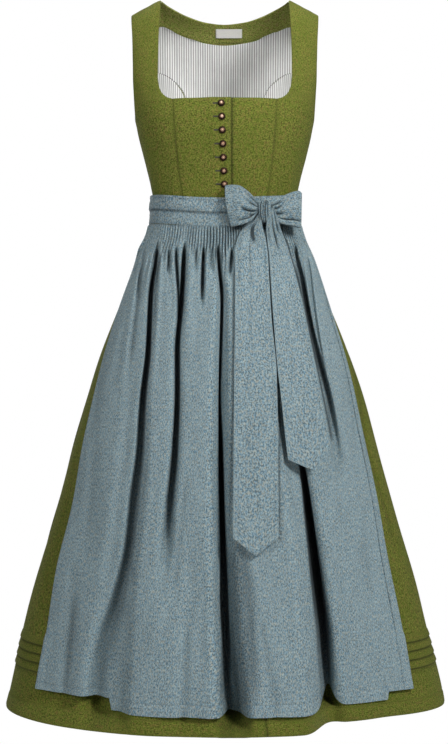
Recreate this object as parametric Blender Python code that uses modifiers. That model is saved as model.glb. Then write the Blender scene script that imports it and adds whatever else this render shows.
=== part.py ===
"""A dirndl dress, filled out as if worn: bodice, skirt, apron, tied bow and buttons.

Sizes are in millimetres in the tables below and become metres when a mesh is made.
+X is the viewer's right, the front of the dress faces -Y and +Z is up. The origin lies midway
between the two shoulder seams, and a height is given as the distance down from there.
"""

import math
from bisect import bisect_right
from collections import namedtuple

import bmesh
import bpy
from mathutils import Vector

MM = 0.001
SEAM_GAP = 0.3          # between two pieces that are sewn together or lie on each other
SHELL = 1.8             # the felted cloth of bodice and skirt
LINING_CLOTH = 1.0
APRON_CLOTH = 1.0
TIE_CLOTH = 1.2
BAND_CLOTH = 1.5

FRONT, BACK = -1, 1

# ---------------------------------------------------------------- bodice sizes

ROUNDNESS = 2.4         # exponent of the bodice's super-elliptic sections
SHOULDER_ROUND = 60.0   # how far down the straps turn over the shoulder
NECK_HALF = 118.0       # from the middle to the high point of a strap
STRAP_RISE = 13.5       # high point of a strap above the middle of the shoulder seam
STRAP_SLOPE = 0.5       # fall of the shoulder seam outwards
RISE_ENDS = 120.0       # the slope of the shoulder is gone this far down
UNDERARM = 212.5
NECK_BOTTOM = 185.5
WAIST = 352.5
WAIST_DIP = 12.0        # the waist seam hangs this much lower at the middle of the front

# half_width is that of the whole round; armhole is the angle from the middle, in degrees, at
# which the armhole cuts it.
Section = namedtuple("Section", "down half_width front back armhole")
BODICE = (
    Section(0.0, 200.0, 72.0, 66.0, 57.0),
    Section(60.0, 189.0, 86.0, 84.0, 61.0),
    Section(105.0, 185.5, 96.0, 95.0, 62.5),
    Section(140.0, 182.0, 106.0, 99.0, 65.0),
    Section(165.0, 177.0, 113.0, 100.0, 68.5),
    Section(187.0, 172.0, 119.0, 100.0, 73.0),
    Section(202.0, 168.0, 122.0, 99.5, 78.5),
    Section(209.0, 166.0, 123.0, 99.0, 84.0),
    Section(UNDERARM, 164.8, 123.5, 99.0, 90.0),
    Section(240.0, 159.0, 122.0, 97.0, 90.0),
    Section(276.0, 150.0, 115.0, 94.0, 90.0),
    Section(313.0, 140.5, 106.0, 91.0, 90.0),
    Section(WAIST, 132.5, 100.0, 88.0, 90.0),
)

# Lines on the bodice: how far each lies from the middle at a distance down.
Line = namedtuple("Line", "down across")
FRONT_NECK_EDGE = (
    Line(0.0, NECK_HALF), Line(30.0, 118.5), Line(103.0, 120.5), Line(137.0, 120.5),
    Line(155.0, 117.5), Line(165.0, 114.0), Line(174.0, 108.5), Line(181.0, 101.0),
    Line(NECK_BOTTOM, 93.0),
)
FRONT_PRINCESS_SEAM = (
    Line(NECK_BOTTOM, 93.0), Line(240.0, 90.0), Line(290.0, 85.0), Line(WAIST, 76.0),
)
BACK_PRINCESS_SEAM = (
    Line(101.0, 165.0), Line(105.0, 128.0), Line(112.0, 108.0), Line(123.0, 93.0),
    Line(134.0, 83.0), Line(144.0, 78.0), Line(187.0, 68.0), Line(240.0, 59.0),
    Line(WAIST, 47.0),
)
# The back neckline and the lower edge of its facing: how far down each is at a distance from
# the middle.
Drop = namedtuple("Drop", "across down")
BACK_NECKLINE = (Drop(0.0, 27.0), Drop(35.0, 24.5), Drop(72.0, 16.5), Drop(100.0, 7.0), Drop(NECK_HALF, 0.0))
FACING_EDGE = (Drop(0.0, 58.0), Drop(50.0, 52.0), Drop(87.0, 43.0), Drop(123.0, 32.0), Drop(173.0, 22.0))

SHOULDER_ROWS = (0.0, 4.6, 17.6, 37.0, SHOULDER_ROUND)
STRAP_ROWS = (82.0, 103.0, 125.0, 142.0, 155.0, 165.0, 174.0, 181.0)
CHEST_ROWS = (NECK_BOTTOM, 196.0, 204.0, 209.0, UNDERARM, 240.0, 276.0, 313.0, WAIST)
FACING_SHARES = (0.0, 0.1, 0.4, 1.0)
BACK_YOKE_ROWS = (40.0, 62.0, 82.0)
BACK_ROWS = (101.0, 105.0, 112.0, 123.0, 134.0, 144.0, 165.0, 187.0, 202.0, 209.0, UNDERARM,
             240.0, 276.0, 313.0, WAIST)
BACK_SHARES = (-1.0, -0.84, -0.686, -0.35, 0.0, 0.35, 0.686, 0.84, 1.0)
SIDE_COLUMNS = 5
BACK_SIDE_COLUMNS = 4

CLOSURE_EDGE = 11.5     # the upper front's edge, on the wearer's left of the middle
UNDERLAP = 14.0         # how far the under front reaches past the middle
OVERLAP_RAMP = 30.0     # the upper front climbs onto the under one over this width
BUTTON_COUNT = 7
BUTTON_WIDTH = 13.0
BUTTON_HEIGHT = 5.6
FIRST_BUTTON = Line(196.5, -6.4)
LAST_BUTTON = Line(334.5, -0.8)

LABEL_MIDDLE = 8.0
LABEL_WIDTH = 50.0
LABEL_TOP, LABEL_BOTTOM = 32.0, 45.5
LABEL_CLOTH = 0.8
LABEL_STAND = 2.4       # the label bridges the facing's flat facets

# ---------------------------------------------------------------- skirt and apron sizes

HEM = 1282.5
Round = namedtuple("Round", "down half_width front back roundness")
SKIRT = (
    Round(WAIST, 132.5, 100.0, 88.0, 2.4),
    Round(402.0, 136.0, 104.0, 94.0, 2.4),
    Round(472.5, 163.0, 122.0, 122.0, 2.3),
    Round(539.5, 189.5, 140.0, 146.0, 2.2),
    Round(652.5, 234.0, 168.0, 178.0, 2.1),
    Round(787.5, 274.0, 199.0, 209.0, 2.0),
    Round(915.5, 309.0, 224.0, 235.0, 2.0),
    Round(1094.5, 360.0, 252.0, 268.0, 2.0),
    Round(HEM, 404.0, 278.0, 300.0, 2.0),
)
# The apron's side edges, as angles from the middle of the front.
Edge = namedtuple("Edge", "down angle")
APRON_EDGE = (
    Edge(402.0, 85.0), Edge(472.5, 81.0), Edge(542.0, 75.0), Edge(607.0, 70.0), Edge(737.0, 66.0),
    Edge(872.0, 63.0), Edge(992.0, 60.5), Edge(1082.0, 59.0), Edge(1252.0, 57.5),
)

# Folds of the front: where each valley lies and how deep it is at the heights of FOLD_LEVELS,
# how far it reaches to either side at the hem, and how square its floor is.
FOLDS_START = 458.0
FOLDS_GROW = 95.0
FOLD_LEVELS = (460.0, 537.0, 675.0, 858.0, 1058.0, HEM)
Fold = namedtuple("Fold", "name across depth left right square")
FRONT_FOLDS = (
    Fold("left hollow", (-112, -130, -170, -215, -260, -300), (0, 0, 6, 14, 26, 40), 150, 105, 2),
    Fold("left step", (-118, -133, -145, -153, -176, -192), (3, 6, 8, 11, 16, 26), 46, 26, 4),
    Fold("left crease", (-71, -78, -80, -88, -100, -110), (4, 9, 11, 8, 3, 0), 26, 30, 2),
    Fold("narrow crease", (-38, -39, -42, -46, -50, -55), (3, 5, 2, 3, 6, 9), 30, 34, 2),
    Fold("middle valley", (-12, -5, -7, -6, 0, 18), (4, 13, 24, 34, 46, 56), 23, 23, 4),
    Fold("soft hollow", (28, 34, 42, 58, 72, 92), (0, 2, 5, 7, 6, 5), 40, 40, 2),
    Fold("right valley", (66, 77, 92, 128, 152, 172), (3, 8, 16, 22, 22, 14), 30, 30, 4),
    Fold("right hollow", (92, 104, 130, 166, 188, 206), (0, 0, 10, 32, 54, 80), 46, 250, 4),
    Fold("side crease", (126, 141, 176, 212, 250, 285), (4, 8, 9, 6, 5, 7), 30, 40, 2),
)
DEEP_FOLDS = ("left step", "middle valley", "right valley")
FOLD_STEPS = (-1.5, -1.1, -0.75, -0.4, 0.0, 0.4, 0.75, 1.1, 1.5)
# Columns from the side seam to the apron's edge, then between the deep folds, and so on.
SIDE_STEPS = 3
BETWEEN_FOLDS = (4, 6, 4, 6)

BACK_FOLD_COUNT = 9
BACK_FOLD_SPREAD = 158.0
BACK_FOLD_DEPTH = 30.0
BACK_FOLD_HALF = 5.4
BACK_COLUMNS = 32
BACK_GATHERS = 32
BACK_GATHER_DEPTH = 3.0

APRON_HEM = 1251.5
APRON_GATHERS = 54
APRON_GATHER_DEPTH = 2.4
GATHERS_TOP = 410.0
GATHERS_END = 462.0
APRON_STAND_TOP = 3.0   # clear of the skirt at the waist
APRON_STAND_HEM = 4.0   # and over the tucks
GATHER_ROWS = (401.8, 418.0, 438.0, GATHERS_END)
LOWER_ROWS = (505.0, 580.0, 675.0, 785.0, 900.0, 1020.0, 1144.5)
BAND_TOP = 349.0
BAND_BOTTOM = 401.5

TUCK_EDGES = (1157.5, 1173.0, 1188.5, 1204.0)
TUCK_STEP = 2.4
TUCK_UNDERCUT = 0.9
UNDER_TUCKS = tuple(edge + TUCK_UNDERCUT for edge in TUCK_EDGES)
SKIRT_SEAM_COLUMN = 30

BAND_STAND = 3.0        # clear of the closure's two layers
SKIN_OF_TIE = BAND_STAND + BAND_CLOTH + 0.4
TIE_TOP = 349.5
TIE_BOTTOM = 375.0
BACK_TIE_BOTTOM = 388.0

# ---------------------------------------------------------------- bow sizes

KNOT_X, KNOT_Z = 70.7, -386.0
KNOT_HALF_WIDTH = 11.5
KNOT_TOP, KNOT_BOTTOM = 19.0, -20.5
KNOT_DEPTH = 19.0
KNOT_FOLDS = 3

# A bow loop from the knot to its outer end: how far out and up its upper and lower edges are.
Span = namedtuple("Span", "out_top up_top out_bottom up_bottom puff")
RIGHT_WEARER_LOOP = (
    Span(12.3, 13.0, 12.3, -1.5, 3.0), Span(21.6, 24.5, 19.5, -11.8, 6.0),
    Span(33.8, 34.7, 29.7, -19.9, 8.0), Span(47.9, 42.8, 43.8, -25.0, 8.5),
    Span(61.0, 44.4, 52.4, -28.0, 6.5),
)
RIGHT_WEARER_END = Span(70.5, 43.0, 59.0, -28.3, 0.0)
LEFT_WEARER_LOOP = (
    Span(12.3, 11.5, 12.3, -5.5, 3.0), Span(22.9, 20.4, 23.5, -18.0, 6.0),
    Span(38.0, 29.0, 36.0, -23.0, 8.0), Span(52.0, 34.5, 51.0, -25.5, 8.5),
    Span(61.0, 37.0, 61.0, -28.0, 6.0),
)
LEFT_WEARER_END = Span(66.5, 33.0, 65.5, -28.0, 0.0)
LOOP_COLUMNS = 6
LOOP_REACH = 28.0       # past here the outer loop no longer follows the waist round

# A tie end: the distance down, its two edges, and how far its right edge lies back.
Strip = namedtuple("Strip", "down left right back")
LONG_END = (
    Strip(406.9, 62.0, 71.0, 0.0), Strip(416.0, 40.0, 71.5, 0.0), Strip(432.0, 25.0, 72.5, 0.0),
    Strip(462.0, 17.5, 76.0, 0.0), Strip(505.0, 17.8, 78.0, 0.0), Strip(580.0, 17.5, 82.0, 0.0),
    Strip(675.0, 16.0, 90.0, 0.0), Strip(785.0, 15.0, 91.3, 0.0), Strip(953.0, 13.6, 91.5, 0.0),
)
LONG_POINT = 31.0       # how far the pointed end reaches below its corners
SHORT_END = (
    Strip(406.9, 71.6, 80.0, 0.0), Strip(418.0, 73.5, 101.0, 0.0), Strip(436.0, 75.5, 112.0, 0.0),
    Strip(462.0, 78.0, 118.5, 0.0), Strip(505.0, 80.5, 128.0, 0.0), Strip(580.0, 85.0, 143.0, 0.0),
    Strip(675.0, 92.5, 162.0, 4.0), Strip(787.0, 108.5, 184.0, 12.0),
)
SHORT_CORNER_DROP, SHORT_TIP_DROP, SHORT_TIP_SHARE = 36.0, 57.0, 0.62
END_COLUMNS = 4
END_STAND = 8.2         # over the gathered apron

Colour = namedtuple("Colour", "red green blue roughness metallic")
FELT = Colour(0.140, 0.175, 0.030, 0.95, 0.0)
LINEN = Colour(0.165, 0.275, 0.345, 0.80, 0.0)
STRIPED_COTTON = Colour(0.62, 0.62, 0.60, 0.85, 0.0)
LABEL_CLOTH_COLOUR = Colour(0.80, 0.80, 0.78, 0.70, 0.0)
COPPER = Colour(0.40, 0.23, 0.13, 0.38, 1.0)


# ---------------------------------------------------------------- reading the tables

def smooth(stops, values, at):
    """Value at a place, on a curve through the stops that never overshoots them."""
    if at <= stops[0]:
        return values[0]
    if at >= stops[-1]:
        return values[-1]
    slopes = [(v1 - v0) / (s1 - s0) for s0, s1, v0, v1 in zip(stops, stops[1:], values, values[1:])]

    def tangent(k):
        if k == 0 or k == len(slopes):
            return slopes[min(k, len(slopes) - 1)]
        before, after = slopes[k - 1], slopes[k]
        return 0.0 if before * after <= 0 else 2 * before * after / (before + after)

    k = bisect_right(stops, at) - 1
    length = stops[k + 1] - stops[k]
    t = (at - stops[k]) / length
    return (values[k] * (1 + 2 * t) * (1 - t) ** 2 + values[k + 1] * t * t * (3 - 2 * t)
            + length * t * (1 - t) * (tangent(k) * (1 - t) - tangent(k + 1) * t))


def read(table, column, at):
    """One column of a table of named rows, at a place along its first column."""
    return smooth([row[0] for row in table], [getattr(row, column) for row in table], at)


def ease(t):
    """0 to 1 with a soft start and end."""
    t = min(1.0, max(0.0, t))
    return t * t * (3 - 2 * t)


def steps(start, end, count):
    """Evenly spaced values, both ends included."""
    return [start + (end - start) * k / count for k in range(count + 1)]


def power(value, exponent):
    """A signed power."""
    return math.copysign(abs(value) ** exponent, value)


# ---------------------------------------------------------------- the forms that cloth lies on

def waist_dip(angle, down):
    """How much lower than its nominal height a point hangs, towards the middle of the front."""
    share = ease((down - 240.0) / (WAIST - 240.0)) * (1 - ease((down - GATHERS_TOP) / 190.0))
    return WAIST_DIP * share * max(0.0, math.cos(math.radians(angle))) ** 2


def shoulder_arc(down):
    """Length over the shoulder from its seam to a distance down."""
    if down >= SHOULDER_ROUND:
        return SHOULDER_ROUND * (math.pi / 2 - 1) + down
    return SHOULDER_ROUND * math.acos(1 - down / SHOULDER_ROUND)


def bodice_point(angle, arc):
    """Point on the bodice; arc runs from the front waist, below zero, over the shoulder."""
    side = FRONT if arc < 0 else BACK
    turn = min(abs(arc) / SHOULDER_ROUND, math.pi / 2)
    down = SHOULDER_ROUND * (1 - math.cos(turn)) + max(0.0, abs(arc) - SHOULDER_ROUND * math.pi / 2)
    across, along = math.sin(math.radians(angle)), max(0.0, math.cos(math.radians(angle)))
    x = read(BODICE, "half_width", down) * power(across, 2 / ROUNDNESS)
    depth = read(BODICE, "front" if side == FRONT else "back", down)
    y = side * depth * along ** (2 / ROUNDNESS) * math.sin(turn)
    rise = STRAP_RISE - STRAP_SLOPE * max(0.0, abs(x) - NECK_HALF)
    z = -down + rise * ease(1 - down / RISE_ENDS)
    if side == FRONT:
        z -= waist_dip(angle, down)
    return Vector((x, y, z))


def bodice(side, angle, down, out=0.0):
    """Point on the front or back of the bodice, moved out from its surface."""
    arc = side * shoulder_arc(down)
    point = bodice_point(angle, arc)
    if not out:
        return point
    turn, slide = 0.1, 0.4
    low, high = max(-90.0, angle - turn), min(90.0, angle + turn)
    over = bodice_point(high, arc) - bodice_point(low, arc)
    along = bodice_point(angle, arc + slide) - bodice_point(angle, arc - slide)
    if down < 0.01:
        along = bodice_point(angle, slide) - bodice_point(angle, -slide)
    return point + over.cross(along).normalized() * out


def bodice_angle(across, down):
    """The angle at which the bodice is this far from the middle."""
    share = min(1.0, abs(across) / read(BODICE, "half_width", down))
    return math.copysign(math.degrees(math.asin(share ** (ROUNDNESS / 2))), across)


def fold_scale(down):
    """Width of a fold at a height against its width at the hem."""
    return read(SKIRT, "half_width", down) / SKIRT[-1].half_width


def fold_middle(fold, down):
    """How far across a fold's valley lies; above the folds it keeps its share of the round."""
    top = FOLD_LEVELS[0]
    return smooth(FOLD_LEVELS, fold.across, down) * fold_scale(min(down, top)) / fold_scale(top)


def front_fold_depth(across, down):
    """How far the folds set the front of the skirt back."""
    total = 0.0
    for fold in FRONT_FOLDS:
        offset = across - fold_middle(fold, down)
        reach = (fold.left if offset < 0 else fold.right) * fold_scale(down)
        depth = smooth(FOLD_LEVELS, fold.depth, down)
        total += depth * math.exp(-abs(offset / reach) ** fold.square)
    return total * ease((down - FOLDS_START) / FOLDS_GROW)


def back_fold_depth(angle, down):
    """How far the folds draw the back of the skirt in."""
    fall = ease((down - GATHERS_TOP) / (HEM - GATHERS_TOP))
    total = 0.0
    for k in range(BACK_FOLD_COUNT):
        middle = 180 + BACK_FOLD_SPREAD * (k / (BACK_FOLD_COUNT - 1) - 0.5)
        middle += 3.0 * math.sin(2.3 * k) + 2.5 * math.sin(1.7 * k + down / 210.0)
        depth = BACK_FOLD_DEPTH * (0.8 + 0.2 * math.sin(4.1 * k + 1.0)) * (0.15 + 0.85 * fall)
        offset = (angle % 360.0) - middle
        total += depth * math.exp(-(offset / BACK_FOLD_HALF) ** 2)
    return total * ease((down - GATHERS_TOP) / 60.0)


def skirt_round(angle, down):
    """Point on the skirt's round without its folds."""
    row = {name: read(SKIRT, name, down) for name in ("half_width", "front", "back", "roundness")}
    across, along = math.sin(math.radians(angle)), math.cos(math.radians(angle))
    x = row["half_width"] * power(across, 2 / row["roundness"])
    depth = row["front"] if along >= 0 else row["back"]
    y = -depth * power(along, 2 / row["roundness"])
    return Vector((x, y, -down - waist_dip(angle, down)))


def skirt_point(angle, down):
    """Point on the skirt with its folds."""
    point = skirt_round(angle, down)
    if abs(math.cos(math.radians(angle))) < 1e-6:
        return point
    if point.y < 0:
        share = math.sqrt(-point.y / read(SKIRT, "front", down))
        point.y = min(-2.0 * share, point.y + share * front_fold_depth(point.x, down))
        return point
    share = math.sqrt(point.y / read(SKIRT, "back", down))
    inward = Vector((-point.x, -point.y, 0.0)).normalized()
    return point + inward * share * back_fold_depth(angle, down)


def skirt(angle, down, out=0.0, form=skirt_point):
    """Point on the skirt's form, moved out from its surface."""
    point = form(angle, down)
    if not out:
        return point
    turn, slide = 0.15, 1.0
    over = form(angle + turn, down) - form(angle - turn, down)
    along = form(angle, down + slide) - form(angle, down - slide)
    return point + along.cross(over).normalized() * out


def skirt_angle(across, down):
    """The angle at which the front of the skirt is this far from the middle."""
    share = min(1.0, abs(across) / read(SKIRT, "half_width", down))
    return math.copysign(math.degrees(math.asin(share ** (read(SKIRT, "roundness", down) / 2))), across)


def even_angles(start, end, count, down):
    """Angles that part a stretch of the skirt's round into equal lengths."""
    fine = steps(start, end, 8 * count)
    places = [skirt_round(angle, down) for angle in fine]
    run = [0.0]
    for before, after in zip(places, places[1:]):
        run.append(run[-1] + (after - before).length)
    angles = []
    for length in steps(0.0, run[-1], count):
        k = min(len(run) - 2, max(0, bisect_right(run, length) - 1))
        angles.append(fine[k] + (fine[k + 1] - fine[k]) * (length - run[k]) / (run[k + 1] - run[k]))
    return angles


def apron_stations(down):
    """Angles of the apron's columns, close together where a deep fold turns."""
    edge = read(APRON_EDGE, "angle", down)
    angles = [-edge]
    for name, count in zip(DEEP_FOLDS + ("edge",), BETWEEN_FOLDS):
        if name == "edge":
            angles += steps(angles[-1], edge, count)[1:]
            continue
        fold = next(fold for fold in FRONT_FOLDS if fold.name == name)
        middle = fold_middle(fold, down)
        cluster = [middle + step * (fold.left if step < 0 else fold.right) * fold_scale(down)
                   for step in FOLD_STEPS]
        cluster = [skirt_angle(across, down) for across in cluster]
        angles += steps(angles[-1], cluster[0], count)[1:] + cluster[1:]
    return angles


def front_stations(down):
    """Angles of the skirt front's columns, from side seam to side seam."""
    inner = apron_stations(down)
    return steps(-90.0, inner[0], SIDE_STEPS)[:-1] + inner + steps(inner[-1], 90.0, SIDE_STEPS)[1:]


# ---------------------------------------------------------------- making solids

Sheet = namedtuple("Sheet", "rows levels")     # rows of points; how far down each is, 0 to 1


def sheet(rows, levels=None):
    """A sheet of rows, evenly spaced where no levels are given."""
    return Sheet(rows, levels or steps(0.0, 1.0, len(rows) - 1))


def bearings(row):
    """Where each point of a row lies between its ends, 0 to 1, by its turn about the middle."""
    middle = row[len(row) // 2]
    centre = math.atan2(middle.x, -middle.y)
    turns = [(math.atan2(point.x, -point.y) - centre + math.pi) % math.tau for point in row]
    return [(turn - turns[0]) / (turns[-1] - turns[0]) for turn in turns]


def zip_rows(first, second):
    """Triangles between two rows of (place, index), whatever their counts."""
    faces, i, j = [], 0, 0
    while i < len(first) - 1 or j < len(second) - 1:
        step_first = j == len(second) - 1 or (i < len(first) - 1 and first[i + 1][0] <= second[j + 1][0] + 1e-9)
        if step_first:
            faces.append((first[i][1], second[j][1], first[i + 1][1]))
            i += 1
        else:
            faces.append((first[i][1], second[j][1], second[j + 1][1]))
            j += 1
    return faces


def new_object(name, points, faces, colour):
    """A smooth-shaded mesh object with a material of its own."""
    mesh = bpy.data.meshes.new(name)
    mesh.from_pydata([point * MM for point in points], [], faces)
    shaper = bmesh.new()
    shaper.from_mesh(mesh)
    bmesh.ops.recalc_face_normals(shaper, faces=shaper.faces)
    shaper.to_mesh(mesh)
    shaper.free()
    thing = bpy.data.objects.new(name, mesh)
    finish(thing, colour)
    return thing


def finish(thing, colour):
    """Link an object to the dress, shade it and give it its material."""
    material = bpy.data.materials.new(thing.name)
    material.use_nodes = True
    shader = material.node_tree.nodes["Principled BSDF"]
    shader.inputs["Base Color"].default_value = (colour.red, colour.green, colour.blue, 1.0)
    shader.inputs["Roughness"].default_value = colour.roughness
    shader.inputs["Metallic"].default_value = colour.metallic
    material.diffuse_color = (colour.red, colour.green, colour.blue, 1.0)
    thing.data.materials.append(material)
    if thing.type == "MESH":
        thing.data.shade_smooth()
        thing.data.set_sharp_from_angle(angle=math.radians(40))
    bpy.data.collections["dirndl_dress"].objects.link(thing)


def cloth_wall(name, outer, inner, colour):
    """Close an outer and an inner sheet into one wall of cloth."""
    points, tables, faces = [], [], []
    uneven = len({len(row) for row in outer.rows}) > 1
    for side in (outer, inner):
        table = []
        for row in side.rows:
            places = bearings(row) if uneven else steps(0.0, 1.0, len(row) - 1)
            table.append([(place, len(points) + k) for k, place in enumerate(places)])
            points.extend(row)
        tables.append(table)
        for above, below in zip(table, table[1:]):
            if uneven and len(above) == len(below):
                even = steps(0.0, 1.0, len(above) - 1)
                above = [(place, index) for place, (_, index) in zip(even, above)]
                below = [(place, index) for place, (_, index) in zip(even, below)]
            faces += zip_rows(above, below)
    out, back = tables
    for row in (0, -1):
        faces += zip_rows(out[row], back[row])
    for column in (0, -1):
        edges = [[(level, row[column][1]) for level, row in zip(side.levels, table)]
                 for side, table in ((outer, out), (inner, back))]
        faces += zip_rows(*edges)
    return new_object(name, points, faces, colour)


def set_back(rows, sides, distance=SEAM_GAP / 2):
    """Draw the named sides of a grid in, along the cloth and square to each edge."""
    moved = [[point.copy() for point in row] for row in rows]
    last_row, last_column = len(rows) - 1, len(rows[0]) - 1
    edges = {
        "left": [(i, 0, 0, 1) for i in range(len(rows))],
        "right": [(i, last_column, 0, -1) for i in range(len(rows))],
        "top": [(0, j, 1, 0) for j in range(len(rows[0]))],
        "bottom": [(last_row, j, -1, 0) for j in range(len(rows[-1]))],
    }
    for side in sides:
        chain = edges[side]
        for k, (i, j, di, dj) in enumerate(chain):
            before, after = chain[max(0, k - 1)], chain[min(len(chain) - 1, k + 1)]
            tangent = (rows[after[0]][after[1]] - rows[before[0]][before[1]]).normalized()
            inward = rows[i + di][j + dj] - rows[i][j]
            inward -= tangent * inward.dot(tangent)
            moved[i][j] += inward.normalized() * distance
    return moved


def panel(name, place, rows, columns, thickness, colour, sides="", start=0.0):
    """A wall of cloth from place(row, column, out), set back at the sides that are sewn."""
    grids = []
    for out in (start, start - thickness):
        grid = [[place(row, column, out) for column in range(columns + 1)] for row in rows]
        grids.append(sheet(set_back(grid, sides.split())))
    return cloth_wall(name, grids[0], grids[1], colour)


# ---------------------------------------------------------------- bodice

def neck_angle(down):
    """Angle of the front panel's inner edge: the neckline, then the princess seam."""
    table = FRONT_NECK_EDGE if down <= NECK_BOTTOM else FRONT_PRINCESS_SEAM
    return bodice_angle(read(table, "across", down), down)


def armhole_angle(down):
    """Angle of the armhole, and of the side seam below it."""
    return read(BODICE, "armhole", down)


def make_front_side(name, hand):
    """Side front with its strap; hand is -1 for the viewer's left."""
    rows = SHOULDER_ROWS + STRAP_ROWS + CHEST_ROWS

    def place(down, column, out):
        inner, outer = neck_angle(down), armhole_angle(down)
        share = column / SIDE_COLUMNS
        return bodice(FRONT, hand * (inner + (outer - inner) * share), down, out)

    return panel(name, place, rows, SIDE_COLUMNS, SHELL, FELT, "top left right")


def make_front_centre(name, stations, raised):
    """Centre front between its princess seam and the closure, as distances across at the top."""
    def place(down, column, out):
        seam = read(FRONT_PRINCESS_SEAM, "across", down) / FRONT_PRINCESS_SEAM[0].across
        across = stations[column] * (seam if abs(stations[column]) > CLOSURE_EDGE + UNDERLAP else 1.0)
        climb = ease((across + UNDERLAP + OVERLAP_RAMP) / OVERLAP_RAMP) if raised else 0.0
        return bodice(FRONT, bodice_angle(across, down), down, out + climb * (SHELL + SEAM_GAP))

    seam_side = "left" if raised else "right"
    return panel(name, place, CHEST_ROWS, len(stations) - 1, SHELL, FELT, seam_side)


def back_line(down):
    """Angle of the back centre panel's side: the armhole, then the princess seam."""
    if down <= BACK_PRINCESS_SEAM[0].down:
        return min(armhole_angle(down), bodice_angle(BACK_PRINCESS_SEAM[0].across + 3.0, down))
    return bodice_angle(read(BACK_PRINCESS_SEAM, "across", down), down)


def back_yoke_down(row, share):
    """Distance down of a point on the back's upper rows, which follow neckline and facing."""
    across = abs(share) * 172.0
    top = read(BACK_NECKLINE, "down", across)
    edge = read(FACING_EDGE, "down", across)
    if row < len(FACING_SHARES):
        return top + (edge - top) * FACING_SHARES[row]
    nominal = (BACK_YOKE_ROWS + BACK_ROWS)[row - len(FACING_SHARES)]
    return nominal + (edge - FACING_EDGE[-1].down) * max(0.0, 1 - (nominal - 20.0) / 108.0)


def back_centre_place(row, column, out):
    """Point of the back centre panel, or of a layer that lies inside it."""
    share = BACK_SHARES[column]
    side_down = back_yoke_down(row, 1.0)
    down = back_yoke_down(row, share)
    limit = back_line(side_down)
    reach = bodice_point(limit, shoulder_arc(side_down)).x
    return bodice(BACK, bodice_angle(share * reach, down), down, out)


def back_side_place(hand):
    """Place function of a side back panel, or of the lining inside it."""
    def place(down, column, out):
        inner, outer = back_line(down), armhole_angle(down)
        return bodice(BACK, hand * (inner + (outer - inner) * column / BACK_SIDE_COLUMNS), down, out)

    return place


def make_bodice():
    """All the outer pieces of the bodice."""
    make_front_side("front_right_side", -1)
    make_front_side("front_left_side", 1)
    seam = FRONT_PRINCESS_SEAM[0].across
    upper = (-seam, -74.0, -58.0, -44.0, -34.0, -24.0, -UNDERLAP, CLOSURE_EDGE)
    under = (-UNDERLAP + 1.0, CLOSURE_EDGE, 30.0, 50.0, 71.0, seam)
    make_front_centre("front_right_centre", upper, True)
    make_front_centre("front_left_centre", under, False)
    rows = range(len(FACING_SHARES) + len(BACK_YOKE_ROWS) + len(BACK_ROWS))
    columns = len(BACK_SHARES) - 1
    panel("back_centre", back_centre_place, rows, columns, SHELL, FELT, "top left right")
    panel("back_right_side", back_side_place(-1), BACK_ROWS[1:], BACK_SIDE_COLUMNS, SHELL, FELT, "left right")
    panel("back_left_side", back_side_place(1), BACK_ROWS[1:], BACK_SIDE_COLUMNS, SHELL, FELT, "left right")


def make_inside():
    """Facing, label and lining of the back, which show through the neck."""
    layer = -SHELL - SEAM_GAP
    columns = len(BACK_SHARES) - 1
    edge = len(FACING_SHARES) - 1
    last = edge + len(BACK_YOKE_ROWS) + len(BACK_ROWS)
    panel("back_neck_facing", back_centre_place, range(edge + 1), columns, LINING_CLOTH, FELT,
          "top bottom", layer)
    panel("lining_back_centre", back_centre_place, range(edge, last + 1), columns, LINING_CLOTH,
          STRIPED_COTTON, "top left right", layer)
    for name, hand in (("lining_back_right", -1), ("lining_back_left", 1)):
        panel(name, back_side_place(hand), BACK_ROWS[1:], BACK_SIDE_COLUMNS, LINING_CLOTH,
              STRIPED_COTTON, "left right", layer)

    def label_place(down, column, out):
        across = LABEL_MIDDLE + LABEL_WIDTH * (column / 4 - 0.5)
        return bodice(BACK, bodice_angle(across, down), down, out)

    panel("neck_label", label_place, steps(LABEL_TOP, LABEL_BOTTOM, 1), 4, LABEL_CLOTH,
          LABEL_CLOTH_COLOUR, "", layer - LINING_CLOTH - LABEL_STAND)


def make_button(number):
    """One domed button on the upper front, its stem against the cloth."""
    half, height = BUTTON_WIDTH / 2, BUTTON_HEIGHT
    profile = ((0.0, height), (half * 0.48, height * 0.92), (half * 0.84, height * 0.66),
               (half, height * 0.30), (half * 0.84, 0.0), (0.0, 0.0))
    mesh = bpy.data.meshes.new(f"button_{number}")
    mesh.from_pydata([Vector((r, 0.0, z)) * MM for r, z in profile],
                     [(k, k + 1) for k in range(len(profile) - 1)], [])
    thing = bpy.data.objects.new(f"button_{number}", mesh)
    turned = thing.modifiers.new("turned", "SCREW")
    turned.steps = turned.render_steps = 10
    turned.use_merge_vertices = True
    turned.merge_threshold = 0.00001
    turned.use_smooth_shade = True
    share = (number - 1) / (BUTTON_COUNT - 1)
    down = FIRST_BUTTON.down + (LAST_BUTTON.down - FIRST_BUTTON.down) * share
    across = FIRST_BUTTON.across + (LAST_BUTTON.across - FIRST_BUTTON.across) * share
    angle = bodice_angle(across, down)
    seat = bodice(FRONT, angle, down, SHELL + 2 * SEAM_GAP)
    outward = (bodice(FRONT, angle, down, 10.0) - bodice(FRONT, angle, down)).normalized()
    thing.location = seat * MM
    thing.rotation_mode = "QUATERNION"
    thing.rotation_quaternion = outward.to_track_quat("Z", "Y")
    finish(thing, COPPER)


# ---------------------------------------------------------------- skirt

def tuck_rows():
    """Heights and stand of the outer rows over the tucks, down to the hem."""
    rows = []
    for edge in TUCK_EDGES:
        rows += [(edge, TUCK_STEP), (edge + TUCK_UNDERCUT, 0.0)]
    return rows + [(HEM, 0.0)]


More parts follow.
